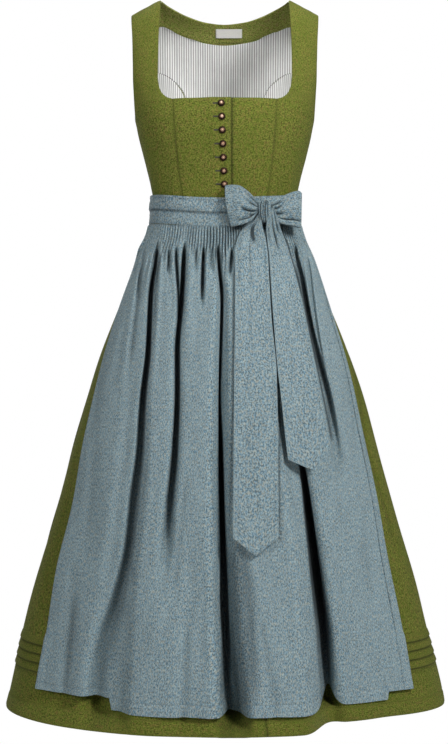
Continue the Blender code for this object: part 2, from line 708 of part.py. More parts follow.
def make_skirt_front():
    """The two front pieces of the skirt, parted at the seam column."""
    heights = (WAIST + SEAM_GAP, 376.0) + GATHER_ROWS + LOWER_ROWS
    tucked = [(down, 0.0) for down in heights] + tuck_rows()
    plain = [(down, 0.0) for down in heights + UNDER_TUCKS + (HEM,)]
    span = HEM - WAIST
    for name, first, last, sides in (("skirt_front_right", 0, SKIRT_SEAM_COLUMN, "left right"),
                                     ("skirt_front_left", SKIRT_SEAM_COLUMN, None, "left right")):
        sheets = []
        for rows, out in ((tucked, 0.0), (plain, -SHELL)):
            grid = []
            for down, stand in rows:
                angles = front_stations(down)[first:None if last is None else last + 1]
                grid.append([skirt(angle, down, out + stand) for angle in angles])
            levels = [(down - WAIST) / span for down, _ in rows]
            sheets.append(sheet(set_back(grid, sides.split()), levels))
        cloth_wall(name, sheets[0], sheets[1], FELT)


def gather(step, depth, down, start, end):
    """Stand of a gathered column: every other one is out, and it fades at both ends."""
    fade = ease((down - start) / 14.0 + 0.35) * (1 - ease((down - start - 16.0) / (end - start - 16.0)))
    return depth * fade * (step % 2)


def make_skirt_back():
    """The back of the skirt, gathered at the waist, with its tucks."""
    upper = (WAIST + SEAM_GAP, 392.0, 410.0, 466.0)
    fine = 2 * BACK_GATHERS
    lower = LOWER_ROWS
    span = HEM - WAIST

    def gathered(down, out):
        angles = even_angles(90.0, 270.0, fine, down)
        share = 0.35 if down < 400.0 else 1.0
        return [skirt(angle, down, out + share * gather(k, BACK_GATHER_DEPTH, down, 392.0, 490.0))
                for k, angle in enumerate(angles)]

    def plain(down, out):
        return [skirt(angle, down, out) for angle in even_angles(90.0, 270.0, BACK_COLUMNS, down)]

    sheets = []
    for tail, out in ((tuck_rows(), 0.0), ([(down, 0.0) for down in UNDER_TUCKS + (HEM,)], -SHELL)):
        grid = [gathered(down, out) for down in upper] + [plain(down, out) for down in lower]
        grid += [plain(down, out + stand) for down, stand in tail]
        levels = [(down - WAIST) / span for down in upper + lower] + [(row[0] - WAIST) / span for row in tail]
        for row in grid:
            row[0], row[-1] = drawn_in(row[0], row[1]), drawn_in(row[-1], row[-2])
        sheets.append(sheet(grid, levels))
    cloth_wall("skirt_back", sheets[0], sheets[1], FELT)


def drawn_in(point, neighbour):
    """A seam point moved half a seam gap towards its neighbour."""
    return point + (neighbour - point).normalized() * SEAM_GAP / 2


# ---------------------------------------------------------------- apron

def apron_stand(down):
    """How far the apron's inner face stands off the skirt."""
    share = ease((down - GATHERS_END) / 260.0)
    return APRON_STAND_TOP + (APRON_STAND_HEM - APRON_STAND_TOP) * share


def apron_hem_lift(across):
    """The hem rises a little over the right valley and beside the left step."""
    lift = 30.0 * math.exp(-((across - 181.0) / 15.0) ** 2)
    return lift + 13.0 * ease((-across - 196.0) / 14.0)


def make_apron():
    """The gathered apron panel."""
    span = APRON_HEM - BAND_BOTTOM

    def fine_row(down, out):
        edge = read(APRON_EDGE, "angle", down)
        angles = even_angles(-edge, edge, 2 * APRON_GATHERS, down)
        return [skirt(angle, down, out + gather(k, APRON_GATHER_DEPTH, down, BAND_BOTTOM, GATHERS_END + 30.0))
                for k, angle in enumerate(angles)]

    def wide_row(down, out):
        return [skirt(angle, down, out) for angle in apron_stations(down)]

    rows = GATHER_ROWS + LOWER_ROWS + UNDER_TUCKS[1::2] + (APRON_HEM,)
    sheets = []
    for inward in (0.0, APRON_CLOTH):
        grid = []
        for down in rows:
            out = apron_stand(down) + APRON_CLOTH - inward
            grid.append(fine_row(down, out) if down in GATHER_ROWS else wide_row(down, out))
        run = APRON_HEM - UNDER_TUCKS[-1]
        grid[-1] = [low.lerp(high, apron_hem_lift(low.x) / run) for low, high in zip(grid[-1], grid[-2])]
        sheets.append(sheet(grid, [(down - BAND_BOTTOM) / span for down in rows]))
    cloth_wall("apron_panel", sheets[0], sheets[1], LINEN)


def make_waistband():
    """The apron's band and the tie that goes round it."""
    def strip(name, start, end, count, top, bottom, inner, thickness, sides):
        rows = (top, TIE_BOTTOM) if bottom == TIE_BOTTOM else (top, TIE_BOTTOM, bottom)
        angles = even_angles(start, end, count, (top + bottom) / 2)

        def place(down, column, out):
            return skirt(angles[column], down, out, skirt_round)

        panel(name, place, rows, count, thickness, LINEN, sides, inner + thickness)

    edge = APRON_EDGE[0].angle
    strip("apron_band", -edge, edge, 24, BAND_TOP, BAND_BOTTOM, BAND_STAND, BAND_CLOTH, "left right")
    strip("tie_round_back", edge, 360.0 - edge, 24, BAND_TOP, BACK_TIE_BOTTOM, BAND_STAND,
          BAND_CLOTH, "left right")
    knot = skirt_angle(KNOT_X, -KNOT_Z)
    strip("tie_over_right", -180.0, knot, 36, TIE_TOP, TIE_BOTTOM, SKIN_OF_TIE, TIE_CLOTH, "left right")
    strip("tie_over_left", knot, 180.0, 30, TIE_TOP, TIE_BOTTOM, SKIN_OF_TIE, TIE_CLOTH, "left right")


# ---------------------------------------------------------------- bow

def tie_face(across, down):
    """How far forward the outer face of the tie is."""
    return skirt(skirt_angle(across, down), down, SKIN_OF_TIE + TIE_CLOTH, skirt_round).y


def make_loop(name, spans, end, hand):
    """A bow loop: a front layer, a round outer end and a back layer, as one ribbon."""
    def station(span, layer):
        across = KNOT_X + hand * min(span.out_top, LOOP_REACH if hand > 0 else span.out_top)
        back = tie_face(across, -KNOT_Z) - SEAM_GAP - 1.8
        return [span, back - (2.0 * span.puff + 1.2 if layer == "front" else 0.0)]

    ribbon = [station(span, "front") for span in spans]
    ends = [ribbon[-1][1], station(spans[-1], "back")[1]]
    ribbon += [[end, ends[0] * 0.8 + ends[1] * 0.2], [end, ends[0] * 0.2 + ends[1] * 0.8]]
    ribbon += [station(span, "back") for span in reversed(spans)]
    middle = (len(ribbon) - 1) / 2

    def place(row, column, out):
        span, y = ribbon[row]
        share = column / LOOP_COLUMNS
        x = span.out_top + (span.out_bottom - span.out_top) * share
        z = span.up_top + (span.up_bottom - span.up_top) * share
        crease = 1.3 * math.cos(2 * math.pi * share * 2) * (1 - ease((span.out_top - 12.0) / 45.0))
        front = 1.0 if row < middle else 0.0
        bow = 2.5 * math.sin(math.pi * share) * front * ease((span.out_top - 12.0) / 20.0)
        y -= crease * front + bow
        return Vector((KNOT_X + hand * x, y, KNOT_Z + z))

    centre = [[place(row, column, 0.0) for column in range(LOOP_COLUMNS + 1)] for row in range(len(ribbon))]
    make_ribbon(name, centre, hand)


def make_ribbon(name, centre, hand=1):
    """A ribbon of tie cloth about a grid of middle points."""
    half = TIE_CLOTH / 2
    outer, inner = [], []
    for i, row in enumerate(centre):
        outer.append([])
        inner.append([])
        for j, point in enumerate(row):
            along = centre[min(i + 1, len(centre) - 1)][j] - centre[max(i - 1, 0)][j]
            over = row[min(j + 1, len(row) - 1)] - row[max(j - 1, 0)]
            normal = over.cross(along).normalized() * half * hand
            outer[-1].append(point + normal)
            inner[-1].append(point - normal)
    cloth_wall(name, sheet(outer), sheet(inner), LINEN)


def make_knot():
    """The knot: a soft block wrapped by the tie, with folds down its face."""
    back = tie_face(KNOT_X, -KNOT_Z) - SEAM_GAP - 0.4
    count = 18
    # height above the middle, half width and depth as shares
    rings = ((KNOT_TOP, 0.62, 0.45), (KNOT_TOP * 0.72, 0.92, 0.85), (4.0, 1.0, 1.0),
             (KNOT_BOTTOM * 0.55, 0.86, 0.92), (KNOT_BOTTOM, 0.60, 0.55))
    points, faces = [], []
    for up, wide, deep in rings:
        for k in range(count):
            turn = 2 * math.pi * k / count
            x = KNOT_HALF_WIDTH * wide * power(math.sin(turn), 0.8)
            face = max(0.0, math.cos(turn))
            crease = 1.0 * face * math.cos(KNOT_FOLDS * math.pi * x / KNOT_HALF_WIDTH)
            half = KNOT_DEPTH / 2
            y = back - half - half * deep * power(math.cos(turn), 0.8) - crease
            points.append(Vector((KNOT_X + x, min(y, back), KNOT_Z + up)))
    for ring in range(len(rings) - 1):
        for k in range(count):
            a, b = ring * count + k, ring * count + (k + 1) % count
            faces += [(a, b, a + count), (b, b + count, a + count)]
    for ring in (0, len(rings) - 1):
        centre = sum((points[ring * count + k] for k in range(count)), Vector()) / count
        points.append(centre)
        faces += [(ring * count + k, ring * count + (k + 1) % count, len(points) - 1) for k in range(count)]
    new_object("bow_knot", points, faces, LINEN)


def end_surface(across, down):
    """The plane on which a tie end lies, over the apron's ridges."""
    return skirt(skirt_angle(across, down), down, END_STAND, skirt_round).y


def make_end(name, strips, bottom):
    """A hanging tie end; bottom gives the drop below the last row at each share across."""
    centre = []
    for k, strip in enumerate(strips):
        row = []
        for share in steps(0.0, 1.0, END_COLUMNS):
            across = strip.left + (strip.right - strip.left) * share
            drop = bottom(share) if k == len(strips) - 1 else 0.0
            crease = 1.6 * math.sin(3 * math.pi * share) * (1 - ease((strip.down - 400.0) / 170.0))
            y = end_surface(across, strip.down) + strip.back * share - abs(crease)
            y -= KNOT_DEPTH * 0.22 * (1 - ease((strip.down - LONG_END[0].down) / 30.0))
            slope = end_surface(across, strip.down + 10.0) - end_surface(across, strip.down)
            row.append(Vector((across, y + slope * drop / 10.0, -strip.down - drop)))
        centre.append(row)
    make_ribbon(name, centre)


def long_drop(share):
    """The long end is cut to a point at its middle."""
    return LONG_POINT * (1 - abs(2 * share - 1))


def short_drop(share):
    """The short end is cut aslant, its tip past the middle."""
    if share <= SHORT_TIP_SHARE:
        return SHORT_CORNER_DROP + (SHORT_TIP_DROP - SHORT_CORNER_DROP) * share / SHORT_TIP_SHARE
    return SHORT_TIP_DROP * (1 - (share - SHORT_TIP_SHARE) / (1 - SHORT_TIP_SHARE)) + 12.0 * (
        (share - SHORT_TIP_SHARE) / (1 - SHORT_TIP_SHARE))


def make_bow():
    """Loops, knot and hanging ends."""
    make_loop("bow_loop_right", RIGHT_WEARER_LOOP, RIGHT_WEARER_END, -1)
    make_loop("bow_loop_left", LEFT_WEARER_LOOP, LEFT_WEARER_END, 1)
    make_knot()
    make_end("bow_end_long", LONG_END, long_drop)
    make_end("bow_end_short", SHORT_END, short_drop)


# ---------------------------------------------------------------- the dress

def clear_scene():
    """Remove whatever the scene holds."""
    for thing in list(bpy.data.objects):
        bpy.data.objects.remove(thing, do_unlink=True)


def main():
    """Build the dress."""
    clear_scene()
    bpy.context.scene.collection.children.link(bpy.data.collections.new("dirndl_dress"))
    make_bodice()
    make_inside()
    for number in range(1, BUTTON_COUNT + 1):
        make_button(number)
    make_skirt_front()
    make_skirt_back()
    make_apron()
    make_waistband()
    make_bow()


main()
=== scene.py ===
"""A dirndl dress as if worn: felt bodice and skirt, gathered linen apron, tied bow, buttons.

Sizes are in millimetres and become metres when a mesh is made. +X is the viewer's right, the
front of the dress faces -Y, +Z is up, and a height is given as the distance down from the
shoulder seams.
"""
from __future__ import annotations

import logging
import math
from contextlib import contextmanager
from dataclasses import dataclass
from enum import Enum
from typing import Callable, ClassVar, Iterator, Sequence

import bpy
import numpy as np
from mathutils import Matrix, Vector


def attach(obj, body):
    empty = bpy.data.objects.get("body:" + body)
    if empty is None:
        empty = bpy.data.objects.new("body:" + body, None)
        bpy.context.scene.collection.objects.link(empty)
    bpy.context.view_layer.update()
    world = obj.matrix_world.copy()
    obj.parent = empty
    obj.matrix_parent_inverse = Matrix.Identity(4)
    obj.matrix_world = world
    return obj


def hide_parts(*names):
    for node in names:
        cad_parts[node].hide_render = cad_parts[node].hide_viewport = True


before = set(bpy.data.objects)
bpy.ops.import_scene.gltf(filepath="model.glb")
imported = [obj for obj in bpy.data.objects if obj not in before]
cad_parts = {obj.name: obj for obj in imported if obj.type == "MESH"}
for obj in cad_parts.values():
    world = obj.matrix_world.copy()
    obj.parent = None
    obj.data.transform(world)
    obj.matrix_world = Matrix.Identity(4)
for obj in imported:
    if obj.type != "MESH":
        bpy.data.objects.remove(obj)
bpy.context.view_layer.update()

log = logging.getLogger("dirndl")
MM = 0.001
TINY = 1e-12
Array = np.ndarray
Numbers = Array | float


# ---------------------------------------------------------------- curves, easing and tables

class Curve:
    """A curve through stops that never overshoots them."""

    def __init__(self, stops: Sequence[float], values: Sequence[float]) -> None:
        """Args:
            stops: Places along the curve, rising.
            values: The curve's value at each stop.
        """
        self.stops = np.asarray(stops, dtype=float)
        self.values = np.asarray(values, dtype=float)
        slopes = np.diff(self.values) / np.diff(self.stops)
        before, after = slopes[:-1], slopes[1:]
        product = before * after
        total = np.where(product > 0, before + after, 1.0)
        inner = np.where(product > 0, 2 * product / total, 0.0)
        self.tangents = np.concatenate([slopes[:1], inner, slopes[-1:]])

    def __call__(self, at: Numbers) -> Array:
        """Read the curve.

        Args:
            at: Places along it.
        Returns:
            The values there.
        """
        at = np.clip(at, self.stops[0], self.stops[-1])
        k = np.clip(np.searchsorted(self.stops, at, side="right") - 1, 0, len(self.stops) - 2)
        length = self.stops[k + 1] - self.stops[k]
        t = (at - self.stops[k]) / length
        return (self.values[k] * (1 + 2 * t) * (1 - t) ** 2 + self.values[k + 1] * t * t * (3 - 2 * t)
                + length * t * (1 - t) * (self.tangents[k] * (1 - t) - self.tangents[k + 1] * t))


def ease(t: Numbers) -> Array:
    """0 to 1 with a soft start and end."""
    t = np.clip(t, 0.0, 1.0)
    return t * t * (3 - 2 * t)


def rising(at: Numbers, start: Numbers, over: Numbers) -> Array:
    """0 to 1, soft at both ends, from a start over a distance."""
    return ease((at - start) / over)


def falling(at: Numbers, start: Numbers, over: Numbers) -> Array:
    """1 to 0, soft at both ends, from a start over a distance."""
    return 1 - rising(at, start, over)


def power(value: Numbers, exponent: Numbers) -> Array:
    """A signed power."""
    return np.copysign(np.abs(value) ** exponent, value)


def unit(vectors: Array) -> Array:
    """Vectors of length one."""
    return vectors / np.maximum(np.linalg.norm(vectors, axis=-1, keepdims=True), TINY)


def run_along(path: Array) -> Array:
    """Length from the start of a path to each of its points."""
    return np.concatenate([[0.0], np.cumsum(np.linalg.norm(np.diff(path, axis=0), axis=1))])


def spread(first: Numbers, second: Numbers) -> list[Array]:
    """Two arrays of numbers, brought to one shape."""
    return np.broadcast_arrays(np.asarray(first, float), np.asarray(second, float))


def moved(point: Array, over: Array, along: Array, out: Numbers) -> Array:
    """Points moved out from a surface, square to two directions that lie in it."""
    return point + unit(np.cross(over, along)) * np.asarray(out, float)[..., None]


def hump(offset: Numbers, half: Numbers, square: Numbers = 2.0) -> Array:
    """A soft bump of height one about zero; a higher exponent makes it squarer."""
    return np.exp(-np.abs(offset / half) ** square)


def each(kind: type, *rows: Sequence[float]) -> tuple:
    """One thing of a kind for every row of its numbers."""
    return tuple(kind(*row) for row in rows)


# ---------------------------------------------------------------- the form of the bodice

WAIST = 352.5
HEM = 1282.5
WAIST_DIP = 12.0
DIP_FROM = 240.0
DIP_FADES = 190.0
GATHERS_TOP = 410.0
FRONT, BACK = -1, 1


def waist_dip(angle: Numbers, down: Numbers) -> Array:
    """How much lower a point of the front hangs, towards the middle of the waist."""
    share = rising(down, DIP_FROM, WAIST - DIP_FROM) * falling(down, GATHERS_TOP, DIP_FADES)
    return WAIST_DIP * share * np.maximum(0.0, np.cos(np.radians(angle))) ** 2


class Form:
    """What both forms share: half widths, fronts and backs by the distance down."""

    downs: tuple[float, ...]
    halves: tuple[float, ...]
    fronts: tuple[float, ...]
    backs: tuple[float, ...]

    def half(self, down: Numbers) -> Array:
        """Half the form's width."""
        return Curve(self.downs, self.halves)(down)

    def depth(self, in_front: Array, down: Array) -> Array:
        """Depth from the middle to the front, and to the back elsewhere."""
        return np.where(in_front, Curve(self.downs, self.fronts)(down), Curve(self.downs, self.backs)(down))

    def turned(self, across: Numbers, down: Numbers, exponent: Numbers) -> Array:
        """The angle at which the form is this far from the middle."""
        share = np.minimum(1.0, np.abs(across) / self.half(down))
        return np.copysign(np.degrees(np.arcsin(share ** exponent)), across)


@dataclass(frozen=True)
class BodiceForm(Form):
    """The surface that the felt of the bodice lies on."""

    roundness: float = 2.4
    shoulder: float = 60.0
    neck_half: float = 118.0
    strap_rise: float = 13.5
    strap_slope: float = 0.5
    rise_ends: float = 120.0
    neck_bottom: float = 185.5
    downs: tuple[float, ...] = (0, 60, 105, 140, 165, 187, 202, 209, 212.5, 240, 276, 313, 352.5)
    halves: tuple[float, ...] = (200, 189, 185.5, 182, 177, 172, 168, 166, 164.8, 159, 150, 140.5, 132.5)
    fronts: tuple[float, ...] = (72, 86, 96, 106, 113, 119, 122, 123, 123.5, 122, 115, 106, 100)
    backs: tuple[float, ...] = (66, 84, 95, 99, 100, 100, 99.5, 99, 99, 97, 94, 91, 88)
    holes: tuple[float, ...] = (57, 61, 62.5, 65, 68.5, 73, 78.5, 84, 90, 90, 90, 90, 90)

    def arc(self, down: Numbers) -> Array:
        """Length over the shoulder from its seam to a distance down."""
        over = self.shoulder * np.arccos(np.clip(1 - down / self.shoulder, -1.0, 1.0))
        return np.where(down >= self.shoulder, self.shoulder * (math.pi / 2 - 1) + down, over)

    def point(self, angle: Numbers, arc: Numbers) -> Array:
        """Point on the form.

        Args:
            angle: Degrees from the middle.
            arc: Length over the shoulder, below zero on the front.
        Returns:
            Points in millimetres.
        """
        angle, arc = spread(angle, arc)
        side = np.where(arc < 0, -1.0, 1.0)
        turn = np.minimum(np.abs(arc) / self.shoulder, math.pi / 2)
        down = self.shoulder * (1 - np.cos(turn)) + np.maximum(0.0, np.abs(arc) - self.shoulder * math.pi / 2)
        across, along = np.sin(np.radians(angle)), np.maximum(0.0, np.cos(np.radians(angle)))
        x = self.half(down) * power(across, 2 / self.roundness)
        y = side * self.depth(side < 0, down) * along ** (2 / self.roundness) * np.sin(turn)
        rise = self.strap_rise - self.strap_slope * np.maximum(0.0, np.abs(x) - self.neck_half)
        z = -down + rise * ease(1 - down / self.rise_ends) - np.where(side < 0, waist_dip(angle, down), 0.0)
        return np.stack([x, y, z], axis=-1)

    def place(self, side: int, angle: Numbers, down: Numbers, out: Numbers = 0.0) -> Array:
        """Point on the front or back, moved out from the surface.

        Args:
            side: FRONT or BACK.
            angle: Degrees from the middle.
            down: Distance down.
            out: How far out from the surface.
        Returns:
            Points in millimetres.
        """
        angle, down = spread(angle, down)
        arc = side * self.arc(down)
        turn, slide = 0.1, 0.4
        over = (self.point(np.minimum(90.0, angle + turn), arc)
                - self.point(np.maximum(-90.0, angle - turn), arc))
        along = self.point(angle, arc + slide) - self.point(angle, arc - slide)
        return moved(self.point(angle, arc), over, along, out)

    def angle_at(self, across: Numbers, down: Numbers) -> Array:
        """The angle at which the form is this far from the middle."""
        return self.turned(across, down, self.roundness / 2)


# ---------------------------------------------------------------- the form of the skirt

@dataclass(frozen=True)
class Fold:
    """A broad fold of the front: its valley's place and depth at each level, and its reach."""

    across: tuple[float, ...]
    depth: tuple[float, ...]
    left: float
    right: float
    square: float


@dataclass(frozen=True)
class Crease:
    """A crease laid into cloth, from an upper to a lower end.

    A depth above zero is a trough, and below zero a ridge. A narrow one is drawn stronger, and
    each widens a little downwards.
    """

    across: float
    down: float
    low_across: float
    low_down: float
    depth: float
    half: float
    bend: float = 0.0
    BROAD: ClassVar[float] = 6.5
    NARROW_STRENGTH: ClassVar[float] = 1.7

    def set_back(self, across: Array, down: Array) -> Array:
        """How far the crease sets the cloth back at each point."""
        t = (down - self.down) / (self.low_down - self.down)
        within = np.clip(t, 0, 1)
        middle = self.across + (self.low_across - self.across) * t + self.bend * np.sin(np.pi * within)
        fade = ease((t + 0.10) / 0.28) * falling(t, 0.62, 0.42)
        strength = 1.0 if self.half > self.BROAD else self.NARROW_STRENGTH
        return strength * self.depth * fade * hump(across - middle, self.half * (0.75 + 0.5 * within))


@dataclass(frozen=True)
class Slit:
    """A deep narrow fold whose two lips nearly meet, from the top of the cloth downwards."""

    downs: tuple[float, ...]
    across: tuple[float, ...]
    depth: tuple[float, ...]
    half: tuple[float, ...]
    LIP: ClassVar[float] = 2.0
    SQUARE_FROM: ClassVar[float] = 6.5

    def reach(self, across: Array, down: Array) -> tuple[Array, Array, Array, Array]:
        """Offset from the fold's middle, its half width, its depth, and how steep it is, 0 to 1."""
        inside = (down >= self.downs[0] - 30.0) & (down <= self.downs[-1] + 40.0)
        half = Curve(self.downs, self.half)(down)
        depth = np.where(inside, np.maximum(0.0, Curve(self.downs, self.depth)(down)), 0.0)
        steep = np.minimum(1.0, depth / half / self.SQUARE_FROM)
        return across - Curve(self.downs, self.across)(down), half, depth, steep

    def set_back(self, across: Array, down: Array, wider: float = 0.0) -> Array:
        """How far the fold sets the cloth back; its lips stand a little proud.

        Args:
            across: Distance from the centre line.
            down: Distance down.
            wider: How much wider it is in a layer beneath.
        Returns:
            The set-back in millimetres.
        """
        offset, half, depth, steep = self.reach(across, down)
        proud = self.LIP * np.minimum(1.0, depth / 12.0) * hump(np.abs(offset) - 2.3 * half, 1.1 * half)
        return (depth + wider * (depth > 1.0)) * hump(offset, half + wider, 2.0 + 2.0 * steep) - proud

    def painted_shade_and_patina(self, across: Array, down: Array) -> Array:
        """Painted shade deep in the fold, 0 to 1; a wide fold is painted lighter, as it lets more light in.
        """
        offset, half, depth, steep = self.reach(across, down)
        return steep * rising(depth * hump(offset, half, 2.0 + 2.0 * steep), 2.0, 14.0)

    def crowd(self, across: Array, down: Array) -> Array:
        """How much closer together the mesh's columns are drawn along the fold."""
        offset, half, depth, _ = self.reach(across, down)
        return 2.2 * rising(down, 500.0, 160.0) * ease(depth / 30.0) * hump(offset, 2.0 * half + 3.0, 2.0)


@dataclass(frozen=True)
class SkirtForm(Form):
    """The surface that skirt and apron lie on, with its folds."""

    downs: tuple[float, ...] = (352.5, 402, 472.5, 539.5, 652.5, 787.5, 915.5, 1094.5, 1282.5)
    halves: tuple[float, ...] = (132.5, 136, 163, 189.5, 234, 274, 309, 360, 404)
    fronts: tuple[float, ...] = (100, 104, 122, 140, 168, 199, 224, 252, 278)
    backs: tuple[float, ...] = (88, 94, 122, 146, 178, 209, 235, 268, 300)
    rounds: tuple[float, ...] = (2.4, 2.4, 2.3, 2.2, 2.1, 2.0, 2.0, 2.0, 2.0)
    levels: tuple[float, ...] = (460, 537, 675, 858, 1058, 1282.5)
    folds_start: float = 458.0
    folds_grow: float = 95.0
    folds: tuple[Fold, ...] = (
        Fold((-112, -130, -170, -215, -260, -300), (0, 0, 6, 14, 26, 40), 150, 105, 2),
        Fold((-118, -133, -145, -153, -176, -192), (3, 6, 8, 11, 16, 26), 46, 26, 4),
        Fold((-71, -78, -80, -88, -100, -110), (4, 9, 11, 8, 3, 0), 26, 30, 2),
        Fold((-38, -39, -42, -46, -50, -55), (3, 5, 2, 3, 6, 9), 30, 34, 2),
        Fold((-12, -5, -7, -6, 0, 18), (4, 13, 24, 34, 46, 56), 23, 23, 4),
        Fold((28, 34, 42, 58, 72, 92), (0, 2, 5, 7, 6, 5), 40, 40, 2),
        Fold((66, 77, 92, 128, 152, 172), (3, 8, 16, 22, 22, 14), 30, 30, 4),
        Fold((92, 104, 130, 166, 188, 206), (0, 0, 10, 32, 54, 80), 46, 250, 4),
        Fold((126, 141, 176, 212, 250, 285), (4, 8, 9, 6, 5, 7), 30, 40, 2),
    )
    back_folds: int = 9
    back_spread: float = 158.0
    back_depth: float = 30.0
    back_half: float = 5.4

    def scale(self, down: Numbers) -> Array:
        """Width of a fold at a height against its width at the hem."""
        return self.half(down) / self.halves[-1]

    def middle(self, fold: Fold, down: Numbers) -> Array:
        """How far across a fold's valley runs."""
        top = self.levels[0]
        return Curve(self.levels, fold.across)(down) * self.scale(np.minimum(down, top)) / self.scale(top)

    def front_depth(self, across: Array, down: Array) -> Array:
        """How far the folds set the front back."""
        total = np.zeros(np.broadcast(across, down).shape)
        for fold in self.folds:
            offset = across - self.middle(fold, down)
            reach = np.where(offset < 0, fold.left, fold.right) * self.scale(down)
            total += Curve(self.levels, fold.depth)(down) * hump(offset, reach, fold.square)
        return total * rising(down, self.folds_start, self.folds_grow)

    def back_depth_at(self, angle: Array, down: Array) -> Array:
        """How far the folds draw the back in."""
        fall = ease((down - GATHERS_TOP) / (HEM - GATHERS_TOP))
        total = np.zeros(np.broadcast(angle, down).shape)
        for k in range(self.back_folds):
            middle = 180 + self.back_spread * (k / (self.back_folds - 1) - 0.5)
            middle = middle + 3.0 * math.sin(2.3 * k) + 2.5 * np.sin(1.7 * k + down / 210.0)
            depth = self.back_depth * (0.8 + 0.2 * math.sin(4.1 * k + 1.0)) * (0.15 + 0.85 * fall)
            total += depth * hump((angle % 360.0) - middle, self.back_half)
        return total * rising(down, GATHERS_TOP, 60.0)

    def round(self, angle: Numbers, down: Numbers) -> Array:
        """Point on the round without its folds."""
        angle, down = spread(angle, down)
        across, along = np.sin(np.radians(angle)), np.cos(np.radians(angle))
        exponent = 2 / Curve(self.downs, self.rounds)(down)
        x = self.half(down) * power(across, exponent)
        y = -self.depth(along >= 0, down) * power(along, exponent)
        return np.stack([x, y, -down - waist_dip(angle, down)], axis=-1)

    def folded(self, angle: Numbers, down: Numbers) -> Array:
        """Point on the form with its folds."""
        angle, down = spread(angle, down)
        point = self.round(angle, down)
        y = point[..., 1]
        front = np.sqrt(np.maximum(0.0, -y) / Curve(self.downs, self.fronts)(down))
        back = np.sqrt(np.maximum(0.0, y) / Curve(self.downs, self.backs)(down))
        set_back = np.minimum(-2.0 * front, y + front * self.front_depth(point[..., 0], down))
        inward = unit(-point * np.array([1.0, 1.0, 0.0]))
        drawn = point + inward * (back * self.back_depth_at(angle, down))[..., None]
        folded = point.copy()
        folded[..., 1] = set_back
        return np.where((y < 0)[..., None], folded, np.where((y > 0)[..., None], drawn, point))

    def place(self, angle: Numbers, down: Numbers, out: Numbers = 0.0,
              form: Callable[[Array, Array], Array] | None = None) -> Array:
        """Point on the form, moved out from its surface.

        Args:
            angle: Degrees from the middle of the front.
            down: Distance down.
            out: How far out from the surface.
            form: The round or the folded form; folded where none is given.
        Returns:
            Points in millimetres.
        """
        form = form or self.folded
        angle, down = spread(angle, down)
        over = form(angle + 0.15, down) - form(angle - 0.15, down)
        along = form(angle, down + 1.0) - form(angle, down - 1.0)
        return moved(form(angle, down), along, over, out)

    def angle_at(self, across: Numbers, down: Numbers) -> Array:
        """The angle at which the front is this far from the middle."""
        return self.turned(across, down, Curve(self.downs, self.rounds)(down) / 2)

    def even(self, start: float, end: float, shares: Array, down: float) -> Array:
        """Angles that part a stretch of the round by length.

        Args:
            start: First angle.
            end: Last angle.
            shares: Places along the stretch, 0 to 1.
            down: The height.
        Returns:
            The angles.
        """
        fine = np.linspace(start, end, 721)
        run = run_along(self.round(fine, down))
        return np.interp(shares * run[-1], run, fine)


BODICE = BodiceForm()
SKIRT = SkirtForm()


# ---------------------------------------------------------------- shader maths

class Value:
    """A number that changes over a surface; arithmetic on it adds Math nodes."""

    def __init__(self, shader: Shader, socket: bpy.types.NodeSocket) -> None:
        """Wrap an output socket of a shader's tree."""
        self.shader = shader
        self.socket = socket

    def __add__(self, other: Value | float) -> Value:
        """Sum."""
        return self.shader.maths("ADD", self, other)

    def __sub__(self, other: Value | float) -> Value:
        """Difference."""
        return self.shader.maths("SUBTRACT", self, other)

    def __rsub__(self, other: Value | float) -> Value:
        """Difference from a number."""
        return self.shader.maths("SUBTRACT", other, self)

    def __mul__(self, other: Value | float) -> Value:
        """Product."""
        return self.shader.maths("MULTIPLY", self, other)

    __radd__ = __add__
    __rmul__ = __mul__

    def __pow__(self, other: Value | float) -> Value:
        """Power."""
        return self.shader.maths("POWER", self, other)

    def between(self, low: float, high: float) -> Value:
        """0 below low, 1 above high, soft between them."""
        return self.shader.node("ShaderNodeMapRange", {"interpolation_type": "SMOOTHSTEP"},
                                {"Value": self, "From Min": low, "From Max": high})


Colour = tuple[float, float, float]


